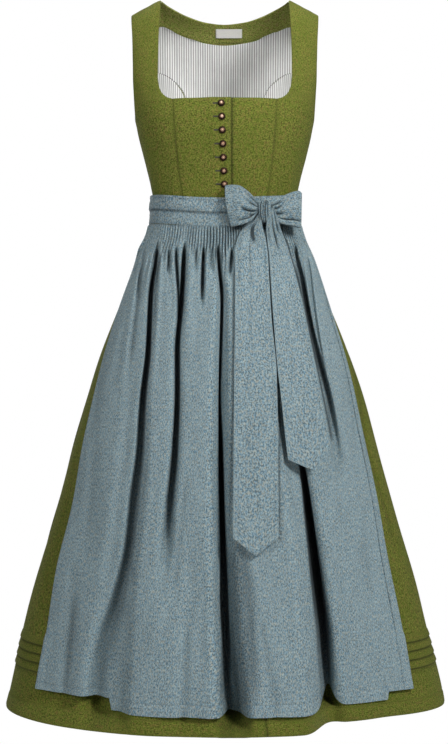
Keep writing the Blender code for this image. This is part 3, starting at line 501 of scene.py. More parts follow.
class Shader:
    """The node tree of one material, around its Principled shader."""

    def __init__(self, name: str, **plain: float | Colour) -> None:
        """Args:
            name: The material's name.
            plain: Values set on the shader's own sockets, an underscore for each space.
        """
        self.material = bpy.data.materials.new(name)
        self.material.use_nodes = True
        self.tree = self.material.node_tree
        self.surface = self.tree.nodes["Principled BSDF"]
        for socket, value in plain.items():
            value = (*value, 1.0) if isinstance(value, tuple) else value
            self.surface.inputs[socket.replace("_", " ")].default_value = value

    def node(self, kind: str, settings: dict[str, object] | None = None,
             inputs: dict[str | int, object] | None = None, output: str | int = 0) -> Value:
        """Add a node.

        Args:
            kind: The node's type.
            settings: Its properties.
            inputs: Values or links of its sockets.
            output: Which output is used.
        Returns:
            That output.
        """
        made = self.tree.nodes.new(kind)
        for key, value in (settings or {}).items():
            setattr(made, key, value)
        for key, value in (inputs or {}).items():
            socket = made.inputs[key]
            if isinstance(value, Value):
                self.tree.links.new(value.socket, socket)
            elif isinstance(value, tuple) and socket.type == "RGBA":
                socket.default_value = (*value, 1.0)
            else:
                socket.default_value = value
        return Value(self, made.outputs[output])

    def maths(self, operation: str, *terms: Value | float) -> Value:
        """A Math node of an operation on one or two terms."""
        return self.node("ShaderNodeMath", {"operation": operation}, dict(enumerate(terms)))

    def layered(self, colour: Value | Colour, *layers: tuple[Value | float, Value | Colour]) -> Value:
        """A colour with others mixed over it in turn, each by its own share."""
        for share, over in layers:
            colour = self.node("ShaderNodeMix", {"data_type": "RGBA"}, {0: share, 6: colour, 7: over}, 2)
        return colour

    def millimetres(self, place: Value) -> Value:
        """A place in metres, in millimetres."""
        return self.node("ShaderNodeVectorMath", {"operation": "SCALE"}, {0: place, "Scale": 1 / MM})

    def flat(self) -> Value:
        """Place on the cloth as it was cut, in millimetres."""
        return self.millimetres(self.node("ShaderNodeUVMap", {"uv_map": "flat"}))

    def attribute(self, name: str) -> Value:
        """A value stored at the points of the mesh."""
        return self.node("ShaderNodeAttribute", {"attribute_name": name}, output="Fac")

    def solid(self) -> Value:
        """Place in space, in millimetres."""
        return self.millimetres(self.node("ShaderNodeTexCoord", output="Object"))

    def noise(self, place: Value, scale: float, detail: float = 2.0, rough: float = 0.5,
              drawn: tuple[float, float] | None = None) -> Value:
        """Noise about 0.5 with features of one over scale.

        Args:
            place: Where it is read.
            scale: How fine it is.
            detail: How many finer layers it has.
            rough: How strong those are.
            drawn: Factors of the place across and along, which draw its features out.
        Returns:
            The noise.
        """
        if drawn:
            place = self.node("ShaderNodeVectorMath", {"operation": "MULTIPLY"}, {0: place, 1: (*drawn, 1.0)})
        return self.node("ShaderNodeTexNoise", None,
                         {"Vector": place, "Scale": scale, "Detail": detail, "Roughness": rough})

    def axis(self, place: Value, name: str) -> Value:
        """One axis of a place."""
        return self.node("ShaderNodeSeparateXYZ", None, {0: place}, name)

    def finish(self, colour: Value, rough: Value | None = None, relief: Value | None = None,
               strength: float = 0.5, depth: float = 0.0003) -> bpy.types.Material:
        """Feed the shader.

        Args:
            colour: Its base colour.
            rough: Its roughness, where that varies.
            relief: Height of its surface, 0 to 1.
            strength: Strength of the relief.
            depth: The relief's depth in metres.
        Returns:
            The material.
        """
        links = [("Base Color", colour), ("Roughness", rough)]
        if relief:
            inputs = {"Height": relief, "Strength": strength, "Distance": depth}
            links.append(("Normal", self.node("ShaderNodeBump", None, inputs)))
        for socket, value in links:
            if value:
                self.tree.links.new(value.socket, self.surface.inputs[socket])
        return self.material


# ---------------------------------------------------------------- finishes

@dataclass(frozen=True)
class Felt:
    """Fulled wool: a short matted nap, olive flecked with moss, brown and straw."""

    name: str = "olive_felt"
    shade: Colour = (0.036, 0.046, 0.005)
    straw: Colour = (0.208, 0.232, 0.037)
    moss: Colour = (0.064, 0.114, 0.006)
    brown: Colour = (0.182, 0.124, 0.034)
    painted_shade_colour: Colour = (0.006, 0.008, 0.002)

    def material(self) -> bpy.types.Material:
        """The felt's material."""
        shader = Shader(self.name, Sheen_Weight=0.07, Sheen_Roughness=0.55, Sheen_Tint=(0.62, 0.64, 0.36),
                        Specular_IOR_Level=0.18)
        place = shader.flat()
        wide = shader.noise(place, 0.020, 2.0)
        cloud = shader.noise(place, 0.12, 3.0, 0.6)
        tuft = shader.noise(place, 0.38, 4.0, 0.8)
        patch = shader.noise(place, 0.20, 4.0, 0.75, (1.0, 0.7))
        hair = shader.noise(place, 0.95, 3.0, 0.7, (0.9, 0.30))
        grain = shader.noise(place, 1.9, 2.0, 0.6)
        # The last layer is painted shade, read from the mesh: darker in folds, along seams and under edges.
        colour = shader.layered(
            self.shade, (tuft.between(0.44, 0.57), self.straw),
            (patch.between(0.51, 0.59) * 0.62, self.brown),
            ((1 - patch.between(0.36, 0.48)) * 0.50, self.moss),
            ((1 - hair.between(0.34, 0.50)) * 0.40, self.shade),
            (cloud.between(0.42, 0.66) * 0.22, self.straw),
            ((1 - wide.between(0.30, 0.62)) * 0.22, self.moss),
            (shader.attribute("painted_shade_and_patina") * 0.90, self.painted_shade_colour))
        rough = 0.86 + 0.12 * grain
        return shader.finish(colour, rough, hair * 0.5 + grain * 0.35 + tuft * 0.9, 0.75, 0.0010)


@dataclass(frozen=True)
class Linen:
    """Plain-woven linen, grey blue threads against sand-coloured ones, with slubs."""

    name: str = "blue_linen"
    deep: Colour = (0.056, 0.098, 0.120)
    pale: Colour = (0.385, 0.530, 0.580)
    sand: Colour = (0.500, 0.480, 0.380)
    blue: Colour = (0.100, 0.245, 0.375)
    dark: Colour = (0.030, 0.055, 0.070)
    painted_shade_colour: Colour = (0.004, 0.008, 0.011)
    threads: float = 1.05

    def material(self) -> bpy.types.Material:
        """The linen's material."""
        shader = Shader(self.name, Sheen_Weight=0.08, Sheen_Roughness=0.4, Sheen_Tint=(0.8, 0.88, 0.92),
                        Specular_IOR_Level=0.26)
        place = shader.flat()
        across, along = shader.axis(place, "X"), shader.axis(place, "Y")
        warp_slub = shader.noise(place, 0.50, 3.0, 0.65, (1.0, 0.06))
        weft_slub = shader.noise(place, 0.60, 3.0, 0.6, (0.08, 1.0))
        fleck = shader.noise(place, 0.50, 4.0, 0.8, (1.0, 0.55))
        tone = shader.noise(place, 0.34, 4.0, 0.75, (1.0, 0.5))
        speck = shader.noise(place, 1.2, 2.0, 0.7)
        cloud = shader.noise(place, 0.045, 3.0, drawn=(1.0, 0.35))
        turn = math.pi * self.threads
        warp = shader.maths("SINE", across * turn + warp_slub * 1.6)
        weft = shader.maths("SINE", along * turn + weft_slub * 1.6)
        weave = warp * weft * 0.5 + 0.5
        # The last layer is painted shade, read from the mesh: darker in folds, along seams and under edges.
        colour = shader.layered(
            self.deep, (fleck.between(0.44, 0.57), self.pale),
            (tone.between(0.51, 0.58) * 0.64, self.sand), ((1 - tone.between(0.39, 0.49)) * 0.60, self.blue),
            (warp_slub.between(0.52, 0.66) * 0.32, self.pale),
            ((1 - warp_slub.between(0.36, 0.48)) * 0.30, self.deep),
            (weft_slub.between(0.56, 0.70) * 0.20, self.sand),
            ((1 - speck.between(0.32, 0.48)) * 0.35, self.dark),
            (cloud.between(0.35, 0.70) * 0.12, self.pale),
            ((1 - weave) * 0.18, self.dark), (shader.attribute("painted_shade_and_patina") * 0.94, self.painted_shade_colour))
        relief = weave * 0.5 + warp_slub * 0.8 + weft_slub * 0.5 + fleck * 0.5
        return shader.finish(colour, 0.70 + 0.2 * speck, relief, 0.6, 0.0007)


@dataclass(frozen=True)
class Pinstripe:
    """Lining cotton, pale grey with fine white stripes down it."""

    name: str = "striped_cotton"
    ground: Colour = (0.32, 0.32, 0.31)
    stripe: Colour = (0.80, 0.80, 0.78)
    worn: Colour = (0.25, 0.25, 0.25)
    speckled: Colour = (0.85, 0.85, 0.84)
    painted_shade_colour: Colour = (0.05, 0.05, 0.05)
    pitch: float = 5.0

    def material(self) -> bpy.types.Material:
        """The lining's material."""
        shader = Shader(self.name, Sheen_Weight=0.05, Specular_IOR_Level=0.3)
        place = shader.flat()
        across, along = shader.axis(place, "X"), shader.axis(place, "Y")
        wander = shader.noise(place, 0.3, 2.0, drawn=(0.4, 0.03))
        wave = shader.maths("SINE", (across + wander * 1.2) * (2 * math.pi / self.pitch))
        thread = shader.noise(place, 0.9, 2.0, 0.6, (1.0, 0.06))
        speck = shader.noise(place, 0.9, 2.0, 0.7)
        uneven = shader.noise(place, 0.12, 1.0, drawn=(1.0, 0.04))
        band = (wave + uneven * 1.2 - 0.6).between(-0.1, 0.75)
        # The last layer is painted shade, read from the mesh, darker along the lining's edges.
        colour = shader.layered(
            self.ground, (band * 0.9, self.stripe), ((1 - thread.between(0.32, 0.5)) * 0.25, self.worn),
            (speck.between(0.52, 0.72) * 0.3, self.speckled),
            (shader.attribute("painted_shade_and_patina") * 0.8, self.painted_shade_colour))
        fine = shader.maths("SINE", along * 8.0) * 0.2
        return shader.finish(colour, 0.78 + 0.12 * speck, band * 0.4 + thread * 0.5 + fine, 0.35, 0.0004)


@dataclass(frozen=True)
class Tape:
    """Woven tape of the neck label, left blank."""

    name: str = "label_tape"
    white: Colour = (0.74, 0.73, 0.69)
    cream: Colour = (0.58, 0.55, 0.47)

    def material(self) -> bpy.types.Material:
        """The tape's material."""
        shader = Shader(self.name, Specular_IOR_Level=0.35)
        place = shader.flat()
        rib = shader.maths("SINE", (shader.axis(place, "X") + shader.axis(place, "Y")) * 5.2)
        fleck = shader.noise(place, 0.7, 3.0, 0.6)
        colour = shader.layered(self.white, (fleck.between(0.4, 0.7) * 0.5, self.cream))
        return shader.finish(colour, 0.55 + 0.2 * fleck, rib * 0.5 + fleck, 0.4, 0.0003)


@dataclass(frozen=True)
class OldCopper:
    """Cast copper, dark in its hollows and rubbed bright on its ridges."""

    name: str = "old_copper"
    bright: Colour = (0.93, 0.70, 0.54)
    dull: Colour = (0.30, 0.150, 0.085)
    painted_shade_and_patina: Colour = (0.014, 0.008, 0.006)

    def material(self) -> bpy.types.Material:
        """The copper's material."""
        shader = Shader(self.name, Metallic=0.9, Specular_IOR_Level=0.5)
        relief = shader.attribute("relief")
        place = shader.solid()
        wear = shader.noise(place, 0.9, 4.0, 0.65)
        pit = shader.noise(place, 3.1, 2.0, 0.6)
        colour = shader.layered(self.painted_shade_and_patina, (relief.between(0.15, 0.62), self.dull),
                                ((relief + wear * 0.5).between(0.80, 1.16), self.bright))
        rough = 0.46 - 0.24 * relief + 0.14 * wear
        return shader.finish(colour, rough, pit * 0.5 + wear * 0.5, 0.25, 0.0002)


@dataclass(frozen=True)
class Thread:
    """Twisted sewing thread."""

    name: str
    light: Colour
    dark: Colour

    def material(self) -> bpy.types.Material:
        """The thread's material."""
        shader = Shader(self.name, Sheen_Weight=0.1, Specular_IOR_Level=0.35)
        place = shader.solid()
        total = shader.axis(place, "X") + shader.axis(place, "Z") * 0.9
        twist = shader.maths("MULTIPLY_ADD", shader.maths("SINE", total * 9.0), 0.5, 0.5)
        fuzz = shader.noise(place, 2.2, 2.0, 0.6)
        colour = shader.layered(self.dark, (twist * 0.7 + fuzz * 0.3, self.light))
        return shader.finish(colour, 0.6 + 0.2 * fuzz, twist, 0.5, 0.0002)


@dataclass(frozen=True)
class Studio:
    """Pale paper under the dress."""

    name: str = "studio_paper"
    pale: Colour = (0.90, 0.90, 0.90)
    soft: Colour = (0.86, 0.86, 0.86)

    def material(self) -> bpy.types.Material:
        """The paper's material."""
        shader = Shader(self.name, Specular_IOR_Level=0.1)
        tooth = shader.noise(shader.solid(), 0.004, 2.0)
        colour = shader.layered(self.pale, (tooth, self.soft))
        return shader.finish(colour, 0.85 + 0.1 * tooth, tooth, 0.05, 0.0005)


class Cloth(Enum):
    """The finishes of the dress, by the record's material slots."""

    FELT = "green_felt"
    LINEN = "blue_linen"
    LINING = "striped_lining"
    TAPE = "label_tape"
    COPPER = "copper"


FELT_THREAD = Thread("felt_thread", (0.075, 0.095, 0.022), (0.020, 0.026, 0.006))
LINEN_THREAD = Thread("linen_thread", (0.300, 0.400, 0.460), (0.110, 0.170, 0.220))
DARK_THREAD = Thread("dark_thread", (0.060, 0.050, 0.040), (0.010, 0.010, 0.008))


# ---------------------------------------------------------------- cloth and stitches

LEVEL = np.array([1.0, 1.0, 0.0])
FORWARD = np.array([0.0, -1.0, 0.0])
RIGHT_LEFT = ((-1, "right"), (1, "left"))


def outwards(grid: Array, outward: Array | None = None) -> tuple[Array, bool]:
    """Unit normals of a grid of points.

    Args:
        grid: Rows and columns of points.
        outward: Which way they look; away from the dress's upright axis where none is given.
    Returns:
        The normals, and whether the grid's own order had to be turned for them.
    """
    normals = unit(np.cross(np.gradient(grid, axis=0), np.gradient(grid, axis=1)))
    turned = bool(np.sum(normals * (grid * LEVEL if outward is None else outward)) < 0)
    return (-normals if turned else normals), turned


def smoothed(lines: int, turns: float, seed: int) -> Callable[..., Array]:
    """A gentle unevenness over a sheet, the same on every run.

    Args:
        lines: How many waves it is made of.
        turns: Waves across a share of one.
        seed: Which unevenness.
    Returns:
        A function of one or two shares that gives about -1 to 1.
    """
    dice = np.random.default_rng(seed)
    waves = dice.uniform(-turns, turns, (lines, 2))
    starts = dice.uniform(0, 2 * math.pi, lines)

    def sway(u: Array, v: Numbers = 0.0) -> Array:
        """The unevenness at two shares."""
        total = sum(np.sin(2 * math.pi * (a * u + b * v) + c) for (a, b), c in zip(waves, starts))
        return total / math.sqrt(lines)

    return sway


def edged(width: float, pitch: float, near: Sequence[float] = (0.7, 1.6, 2.8, 4.6)) -> Array:
    """Shares across a width, closer together towards both edges."""
    count = max(3, int(round((width - 2 * near[-1]) / pitch)) + 1)
    inner = np.linspace(near[-1], width - near[-1], count)
    places = np.concatenate([[0.0], near[:-1], inner, width - np.array(near[:-1])[::-1], [width]])
    return places / width


def rolled(distance: Numbers, drop: float = 0.8, reach: float = 1.7) -> Array:
    """How far a turned or sewn edge rolls down at a distance from it."""
    return drop * np.exp(-(np.maximum(distance, 0.0) / reach) ** 2)


def rolled_sides(out: Numbers, share: Array, width: float, drop: float = 0.8) -> Array:
    """Roll both side edges of a piece down.

    Args:
        out: How far out it lies.
        share: Places across, 0 to 1.
        width: Its width.
        drop: How far an edge rolls.
    Returns:
        How far out it lies then.
    """
    return out - rolled(share * width, drop) - rolled((1 - share) * width, drop)


def mesh_object(name: str, points: Array, faces: list[tuple[int, ...]],
                materials: Sequence[bpy.types.Material],
                flat: Array | None = None, inside: Array | None = None, painted_shade_and_patina: Array | None = None,
                sharp: float = 50.0) -> bpy.types.Object:
    """A mesh object at the origin.

    Args:
        name: Its name.
        points: Its points, in millimetres.
        faces: Its faces.
        materials: Its materials.
        flat: Where each point lies on the flat cloth, in millimetres.
        inside: Which faces take the second material.
        painted_shade_and_patina: Painted shade, 0 to 1: how much darker the cloth's colour is painted in
            folds, along seams and under edges.
        sharp: Edges past this angle stay sharp.
    Returns:
        The object.
    """
    mesh = bpy.data.meshes.new(name)
    mesh.from_pydata((np.asarray(points) * MM).tolist(), [], faces)
    for material in materials:
        mesh.materials.append(material)
    if flat is not None:
        layer = mesh.uv_layers.new(name="flat")
        corners = np.empty(len(mesh.loops), dtype=np.int64)
        mesh.loops.foreach_get("vertex_index", corners)
        layer.data.foreach_set("uv", (np.asarray(flat)[corners] * MM).astype(np.float32).ravel())
    # Painted shade, which the cloth's materials darken their colour by.
    if painted_shade_and_patina is not None:
        shades = mesh.attributes.new("painted_shade_and_patina", "FLOAT", "POINT")
        shades.data.foreach_set("value", painted_shade_and_patina.astype(np.float32).ravel())
    if inside is not None:
        mesh.polygons.foreach_set("material_index", np.asarray(inside, dtype=np.int32))
    mesh.shade_smooth()
    mesh.set_sharp_from_angle(angle=math.radians(sharp))
    mesh.update()
    thing = bpy.data.objects.new(name, mesh)
    bpy.context.scene.collection.objects.link(thing)
    return thing


@dataclass
class Panel:
    """A piece of cloth: a grid of points on its good side, and what it was cut as.

    Attributes:
        name: The piece's name.
        face: Rows and columns of points on the good side, in millimetres.
        cloth: Its thickness.
        good: The finish of the good side.
        flat: Width and length that it was cut to, in millimetres.
        back: The finish of the other side, where it differs.
        outward: Which way the good side looks, to tell it from the other.
        lay: Where each point lies on the flat cloth; even where none is given.
        painted_shade_and_patina: Painted shade, 0 to 1: how much darker the cloth's colour is painted in
            folds, along seams and under edges.
    """

    name: str
    face: Array
    cloth: float
    good: bpy.types.Material
    flat: tuple[float, float]
    back: bpy.types.Material | None = None
    outward: Array | None = None
    lay: Array | None = None
    painted_shade_and_patina: Array | None = None

    def build(self) -> bpy.types.Object:
        """Close the good side and the other into a wall of cloth."""
        rows, columns = self.face.shape[:2]
        normals, turned = outwards(self.face, self.outward)
        points = np.concatenate([self.face.reshape(-1, 3), (self.face - normals * self.cloth).reshape(-1, 3)])
        index = np.arange(rows * columns).reshape(rows, columns)
        other = index + rows * columns
        good, back = quads(index, turned), quads(other, not turned)
        rim = [quads(np.stack([near[end], far[end]], axis=axis), turned == (end != 0))
               for axis, near, far in ((0, index, other), (1, index.T, other.T)) for end in (0, -1)]
        faces = np.concatenate([good, back] + rim)
        lay = self.lay
        if lay is None:
            lay = np.stack(np.meshgrid(*(np.linspace(0, size, count) for size, count
                                         in zip(self.flat, (columns, rows)))), axis=-1)
        inside = None
        if self.back:
            inside = np.zeros(len(faces), dtype=np.int32)
            inside[len(good):len(good) + len(back)] = 1
        painted_shade_and_patina = None
        if self.painted_shade_and_patina is not None:
            painted_shade_and_patina = np.concatenate([np.broadcast_to(self.painted_shade_and_patina, (rows, columns)).ravel()] * 2)
        materials = [self.good, self.back] if self.back else [self.good]
        return mesh_object(self.name, points, faces.tolist(), materials,
                           np.concatenate([lay.reshape(-1, 2)] * 2), inside, painted_shade_and_patina)


@contextmanager
def editing(action: str = "SELECT") -> Iterator[None]:
    """Edit the active mesh, with all of it selected or none."""
    bpy.ops.object.mode_set(mode="EDIT")
    bpy.ops.mesh.select_all(action=action)
    yield
    bpy.ops.object.mode_set(mode="OBJECT")


def quads(index: Array, turned: bool) -> Array:
    """Faces between the rows and columns of a grid of point numbers."""
    corners = [index[:-1, :-1], index[1:, :-1], index[1:, 1:], index[:-1, 1:]]
    if turned:
        corners.reverse()
    return np.stack(corners, axis=-1).reshape(-1, 4)


@dataclass
class Seam:
    """A line of stitches laid along a path on the cloth.

    Attributes:
        name: The piece's name.
        path: Points of the line, in millimetres.
        up: Which way the cloth looks at each of them, or at all.
        thread: The thread's material.
        pitch: From one stitch to the next.
        stitch: A stitch's length.
        thick: The thread's thickness.
    """

    name: str
    path: Array
    up: Array
    thread: bpy.types.Material
    pitch: float = 3.2
    stitch: float = 2.2
    thick: float = 0.5

    def pieces(self) -> tuple[Array, list[tuple[int, ...]]]:
        """Points and faces of all the stitches of the line."""
        run = run_along(self.path)
        middles = np.arange(self.pitch / 2, run[-1], self.pitch)

        def at(place: Array, table: Array) -> Array:
            """Read a table of points along the run."""
            return np.stack([np.interp(place, run, table[:, k]) for k in range(3)], axis=-1)

        along = unit(at(middles + 0.5, self.path) - at(middles - 0.5, self.path))
        up = unit(at(middles, np.broadcast_to(self.up, self.path.shape)))
        side = unit(np.cross(along, up))
        middle = at(middles, self.path)
        points, faces = [], []
        for k in range(len(middles)):
            start = len(points)
            points.append(middle[k] - along[k] * self.stitch / 2)
            for share in (-0.28, 0.28):
                for turn in range(6):
                    angle = math.tau * turn / 6
                    out = side[k] * math.cos(angle) + up[k] * (math.sin(angle) + 0.5)
                    points.append(middle[k] + along[k] * self.stitch * share + out * self.thick / 2)
            points.append(middle[k] + along[k] * self.stitch / 2)
            for turn in range(6):
                a, b = start + 1 + turn, start + 1 + (turn + 1) % 6
                faces += [(start, b, a), (a, b, b + 6, a + 6), (start + 13, a + 6, b + 6)]
        return np.array(points), faces

    def build(self) -> bpy.types.Object:
        """Make the line one object, its faces outwards."""
        points, faces = self.pieces()
        thing = mesh_object(self.name, points, faces, [self.thread], sharp=80.0)
        log.info("stitching %s: %d stitches", self.name, len(points) // 14)
        return thing


def forward_seam(name: str, path: Array, thread: bpy.types.Material, *size: float,
                 lift: float = 0.1) -> Seam:
    """A line of stitches that looks forward.

    Args:
        name: The piece's name.
        path: Points of the line on the cloth.
        thread: The thread's material.
        size: Pitch, length and thickness of a stitch.
        lift: How far the stitches stand off the cloth.
    Returns:
        The line.
    """
    return Seam(name, path + lift * FORWARD, FORWARD, thread, *size)


class Atelier:
    """Enters pieces in the frame: what carries them and what they stand for."""

    def __init__(self) -> None:
        """Make every finish once."""
        self.felt = Felt().material()
        # The facing's felt is a lighter copy of the same felt: painted light, as the facing catches more
        # light than the rest.
        self.facing = Felt("olive_felt_painted_lighter", (0.062, 0.074, 0.012), (0.340, 0.368, 0.086),
                           (0.112, 0.188, 0.016), (0.300, 0.205, 0.080)).material()
        self.linen = Linen().material()
        self.lining = Pinstripe().material()
        self.tape = Tape().material()
        self.copper = OldCopper().material()
        self.felt_thread = FELT_THREAD.material()
        self.linen_thread = LINEN_THREAD.material()
        self.dark_thread = DARK_THREAD.material()

    def enter(self, thing: bpy.types.Object, slot: Cloth, *nodes: str) -> bpy.types.Object:
        """Let a piece ride on the dress, in place of nodes of the frame."""
        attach(thing, "root")
        if nodes:
            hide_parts(*nodes)
        log.info("made %s: %d faces", thing.name, len(thing.data.polygons))
        return thing

    def cloth(self, panel: Panel, slot: Cloth, held: str, rests_on: Sequence[str], *nodes: str,
              seams: Sequence[Seam] = (), area: float | None = None) -> bpy.types.Object:
        """Enter a panel and the stitches on it.

        Args:
            panel: The piece of cloth.
            slot: Its finish; not used.
            held: How it is held; not used.
            rests_on: What it lies on or hangs from; not used.
            nodes: The nodes that it stands for.
            seams: The lines of stitches on it.
            area: Share of the flat rectangle that the cut fills, where it isn't one.
        Returns:
            The piece.
        """
        thing = self.enter(panel.build(), slot, *nodes)
        sewn = [self.enter(seam.build(), slot) for seam in seams]
        width, length = panel.flat[0] * MM, panel.flat[1] * MM
        sides = np.diff(panel.face, axis=0)[:, :-1], np.diff(panel.face, axis=1)[:-1]
        seen = float(np.linalg.norm(np.cross(*sides), axis=2).sum()) * MM * MM
        cut = width * length * (area or 1.0)
        log.info("cloth %s: %.4f square metres, %.2f of its cut", thing.name, seen, seen / cut)
        None if area is None else area * width * length
        return thing


# ---------------------------------------------------------------- bodice

@dataclass
class Bodice:
    """Felt bodice with straps, closed down the front, faced and lined."""

    cloth: float = 1.8
    lining_cloth: float = 1.0
    neck_edge: Curve = Curve((0, 30, 103, 137, 155, 165, 173, 179, 183, 185.5),
                             (118, 118.5, 120.5, 120.8, 119.5, 117, 113, 107.5, 101.5, 93))
    front_seam: Curve = Curve((185.5, 240, 290, 352.5), (93, 90, 85, 76))
    back_seam: Curve = Curve((101, 105, 112, 123, 134, 144, 187, 240, 352.5),
                             (165, 128, 108, 93, 83, 78, 68, 59, 47))
    back_neck: Curve = Curve((-35, 0, 35, 72, 100, 118), (24.5, 27, 24.5, 16.5, 7, 0))
    facing_edge: Curve = Curve((-50, 0, 50, 87, 123, 173), (53, 58, 53, 43, 32, 22))
    half_centre: float = 93.0
    half_back: float = 168.0
    half_lining: float = 165.0
    half_yoke: float = 172.0
    gap: float = 0.3
    side_width: float = 86.0
    armhole_foot: float = 101.0
    closure_edge: float = 11.5
    closure_stitching: float = 5.5
    underlap: float = 14.0
    ramp: float = 30.0
    overlap: float = 2.1
    label_middle: float = 8.0
    label_width: float = 50.0
    label_downs: tuple[float, float] = (32.0, 45.5)
    button_downs: tuple[float, ...] = (197.2, 220.6, 244.0, 265.9, 286.5, 306.7, 327.3)
    button_across: tuple[float, float] = (-6.4, -0.8)
    front_creases: tuple[Crease, ...] = each(
        Crease,
        (-58, 292, -66, 351, 0.9, 7), (-30, 300, -36, 352, -0.6, 8), (40, 300, 46, 352, 0.8, 8),
        (66, 236, 58, 300, 0.5, 9), (-74, 214, -62, 268, 0.6, 10), (22, 210, 30, 262, 0.4, 9))
    side_creases: tuple[Crease, ...] = each(
        Crease,
        (104, 318, 110, 352, 0.9, 5), (118, 300, 122, 352, -0.7, 6), (136, 224, 128, 262, 0.8, 7),
        (128, 208, 134, 240, -0.6, 7), (132, 120, 140, 186, 0.7, 9), (150, 60, 156, 120, -0.6, 11))

    def hole_angle(self, down: Array) -> Array:
        """Angle of the armhole, and of the side seam below it."""
        return Curve(BODICE.downs, BODICE.holes)(down)

    def front_seam_angle(self, down: Array) -> Array:
        """Angle of the neckline's side, then of the front princess seam."""
        across = np.where(down <= BODICE.neck_bottom, self.neck_edge(down), self.front_seam(down))
        return BODICE.angle_at(across, down)

    def back_seam_angle(self, down: Array) -> Array:
        """Angle of the back centre's side: the armhole, then the princess seam."""
        above = np.minimum(self.hole_angle(down), BODICE.angle_at(np.full_like(down, self.half_back), down))
        return np.where(down <= self.armhole_foot, above, BODICE.angle_at(self.back_seam(down), down))

    def side_angle(self, side: int, hand: int, share: Array, down: Array) -> Array:
        """Angle of a place on a side piece, a share of its way from the inner seam to the outer."""
        inner = self.front_seam_angle(down) if side == FRONT else self.back_seam_angle(down)
        return hand * (inner + (self.hole_angle(down) - inner) * share)

    @staticmethod
    def downs(start: float, end: float, pitch: float) -> Array:
        """Distances down, evenly spaced over the shoulder."""
        first, last = float(BODICE.arc(start)), float(BODICE.arc(end))
        arcs = np.linspace(first, last, int(last / pitch) + 1)
        over = BODICE.shoulder * (1 - np.cos(np.minimum(arcs / BODICE.shoulder, math.pi / 2)))
        return over + np.maximum(0.0, arcs - BODICE.shoulder * math.pi / 2)

    def side_front(self, shop: Atelier, hand: int, name: str) -> None:
        """Side front with its strap; hand is -1 for the viewer's left."""
        width = 62.0
        down = np.sort(np.append(self.downs(0.0, WAIST, 3.0), np.arange(170.3, 187.0, 1.2)))[:, None]
        share = edged(width, 2.8)
        angle = self.side_angle(FRONT, hand, share, down)
        across = np.abs(BODICE.place(FRONT, angle, down)[..., 0])
        out = rolled_sides(0.0, share, width) - rolled(BODICE.arc(down))
        out -= sum(crease.set_back(across, down) for crease in self.side_creases)
        out += 0.35 * smoothed(7, 3.0, 11 + hand)(share, down / 360.0)
        face = BODICE.place(FRONT, angle, down, out)
        # Painted shade along the seam at the inner edge, below the neckline.
        panel = Panel(f"side_front_{name}", face, self.cloth, shop.felt, (135.0, 385.0), shop.lining,
                      painted_shade_and_patina=0.3 * (1 - ease(share * width / 2.2)) * (down > BODICE.neck_bottom))
        line = face[:-44, 1 + np.argmax(share * width >= 4.2)]
        seam = Seam(f"topstitch_neck_{name}", line, line * LEVEL + 20.0 * FORWARD, shop.felt_thread,
                    3.0, 1.9, 0.32)
        shop.cloth(panel, Cloth.FELT, "stretched", ["back_centre"], f"front_{name}_side", seams=[seam],
                   area=0.68)

    def climb(self, across: Numbers) -> Array:
        """How far the upper front stands up to lie over the lower one."""
        return ease((across + self.underlap + self.ramp) / self.ramp) * self.overlap

    def front_centre(self, shop: Atelier, upper: bool) -> None:
        """Centre front between its princess seam and the closure; the upper one lies over the other."""
        name = "right" if upper else "left"
        width = 104.5 if upper else 106.0
        shares = edged(width, 2.6)
        station = shares * width - self.half_centre if upper else self.half_centre - (1 - shares) * width
        down = np.concatenate([BODICE.neck_bottom + np.array([0.0, 0.8, 1.8, 3.2]),
                               np.linspace(190.5, WAIST, 56)])[:, None]
        seam = self.front_seam(down) / self.half_centre
        across = station * (1 + (seam - 1) * rising(np.abs(station), 14.0, 30.0))
        out = (self.climb(across) if upper else 0.0) - rolled(down - BODICE.neck_bottom)
        out = rolled_sides(out, shares, width)
        stitched = self.closure_edge - self.closure_stitching
        if upper:
            gap = np.interp(down, self.button_downs, np.arange(len(self.button_downs)))
            wave = 0.5 * np.cos(2 * math.pi * gap) * ease((across + 12.0) / 22.0)
            out = out - 0.35 * hump(across - stitched, 0.9) - 0.3 * wave
        out = out - sum(crease.set_back(across, down) for crease in self.front_creases)
        out = out + 0.3 * smoothed(7, 2.5, 21 + int(upper))(across / 100.0, down / 200.0)
        face = BODICE.place(FRONT, BODICE.angle_at(across, down), down, out)
        # Painted shade along both side edges.
        shade = 0.5 * (1 - ease(np.minimum(shares, 1 - shares) * width / 2.0))
        seams = []
        if upper:
            column = int(np.argmin(np.abs(station - stitched)))
            seams.append(Seam("topstitch_closure", face[:, column], FORWARD, shop.felt_thread,
                              3.0, 2.1, 0.42))
        else:
            # Painted shadow under the edge of the upper front, which lies over this one.
            shade = np.maximum(0.95 * hump(across - self.closure_edge - 1.4, 1.9), shade)
        seams.append(Seam(f"topstitch_neckline_{name}", face[4], np.array([0.0, -1.0, 0.2]), shop.felt_thread,
                          3.0, 1.9, 0.32))
        panel = Panel(f"centre_front_{name}", face, self.cloth, shop.felt, (width + 2.0, 170.0), shop.lining,
                      painted_shade_and_patina=shade)
        shop.cloth(panel, Cloth.FELT, "stretched", [f"front_{name}_side"], f"front_{name}_centre",
                   seams=seams, area=0.9)

    def yoke(self, share: Array, level: Array) -> tuple[Array, Array]:
        """Distances down of the back's rows, and of their side ends.

        Args:
            share: Place across, -1 to 1.
            level: Below 0 a share of the facing less one, above it a nominal distance down.
        Returns:
            Distance down of each point, and that of its row's end at the side.
        """
        def lowered(across: Numbers) -> Array:
            """Distance down of the rows at a place across."""
            top, edge = self.back_neck(across), self.facing_edge(across)
            lower = level + (edge - 22.0) * np.maximum(0.0, 1 - (level - 20.0) / 108.0)
            return np.where(level < 0, top + (edge - top) * (level + 1), lower)

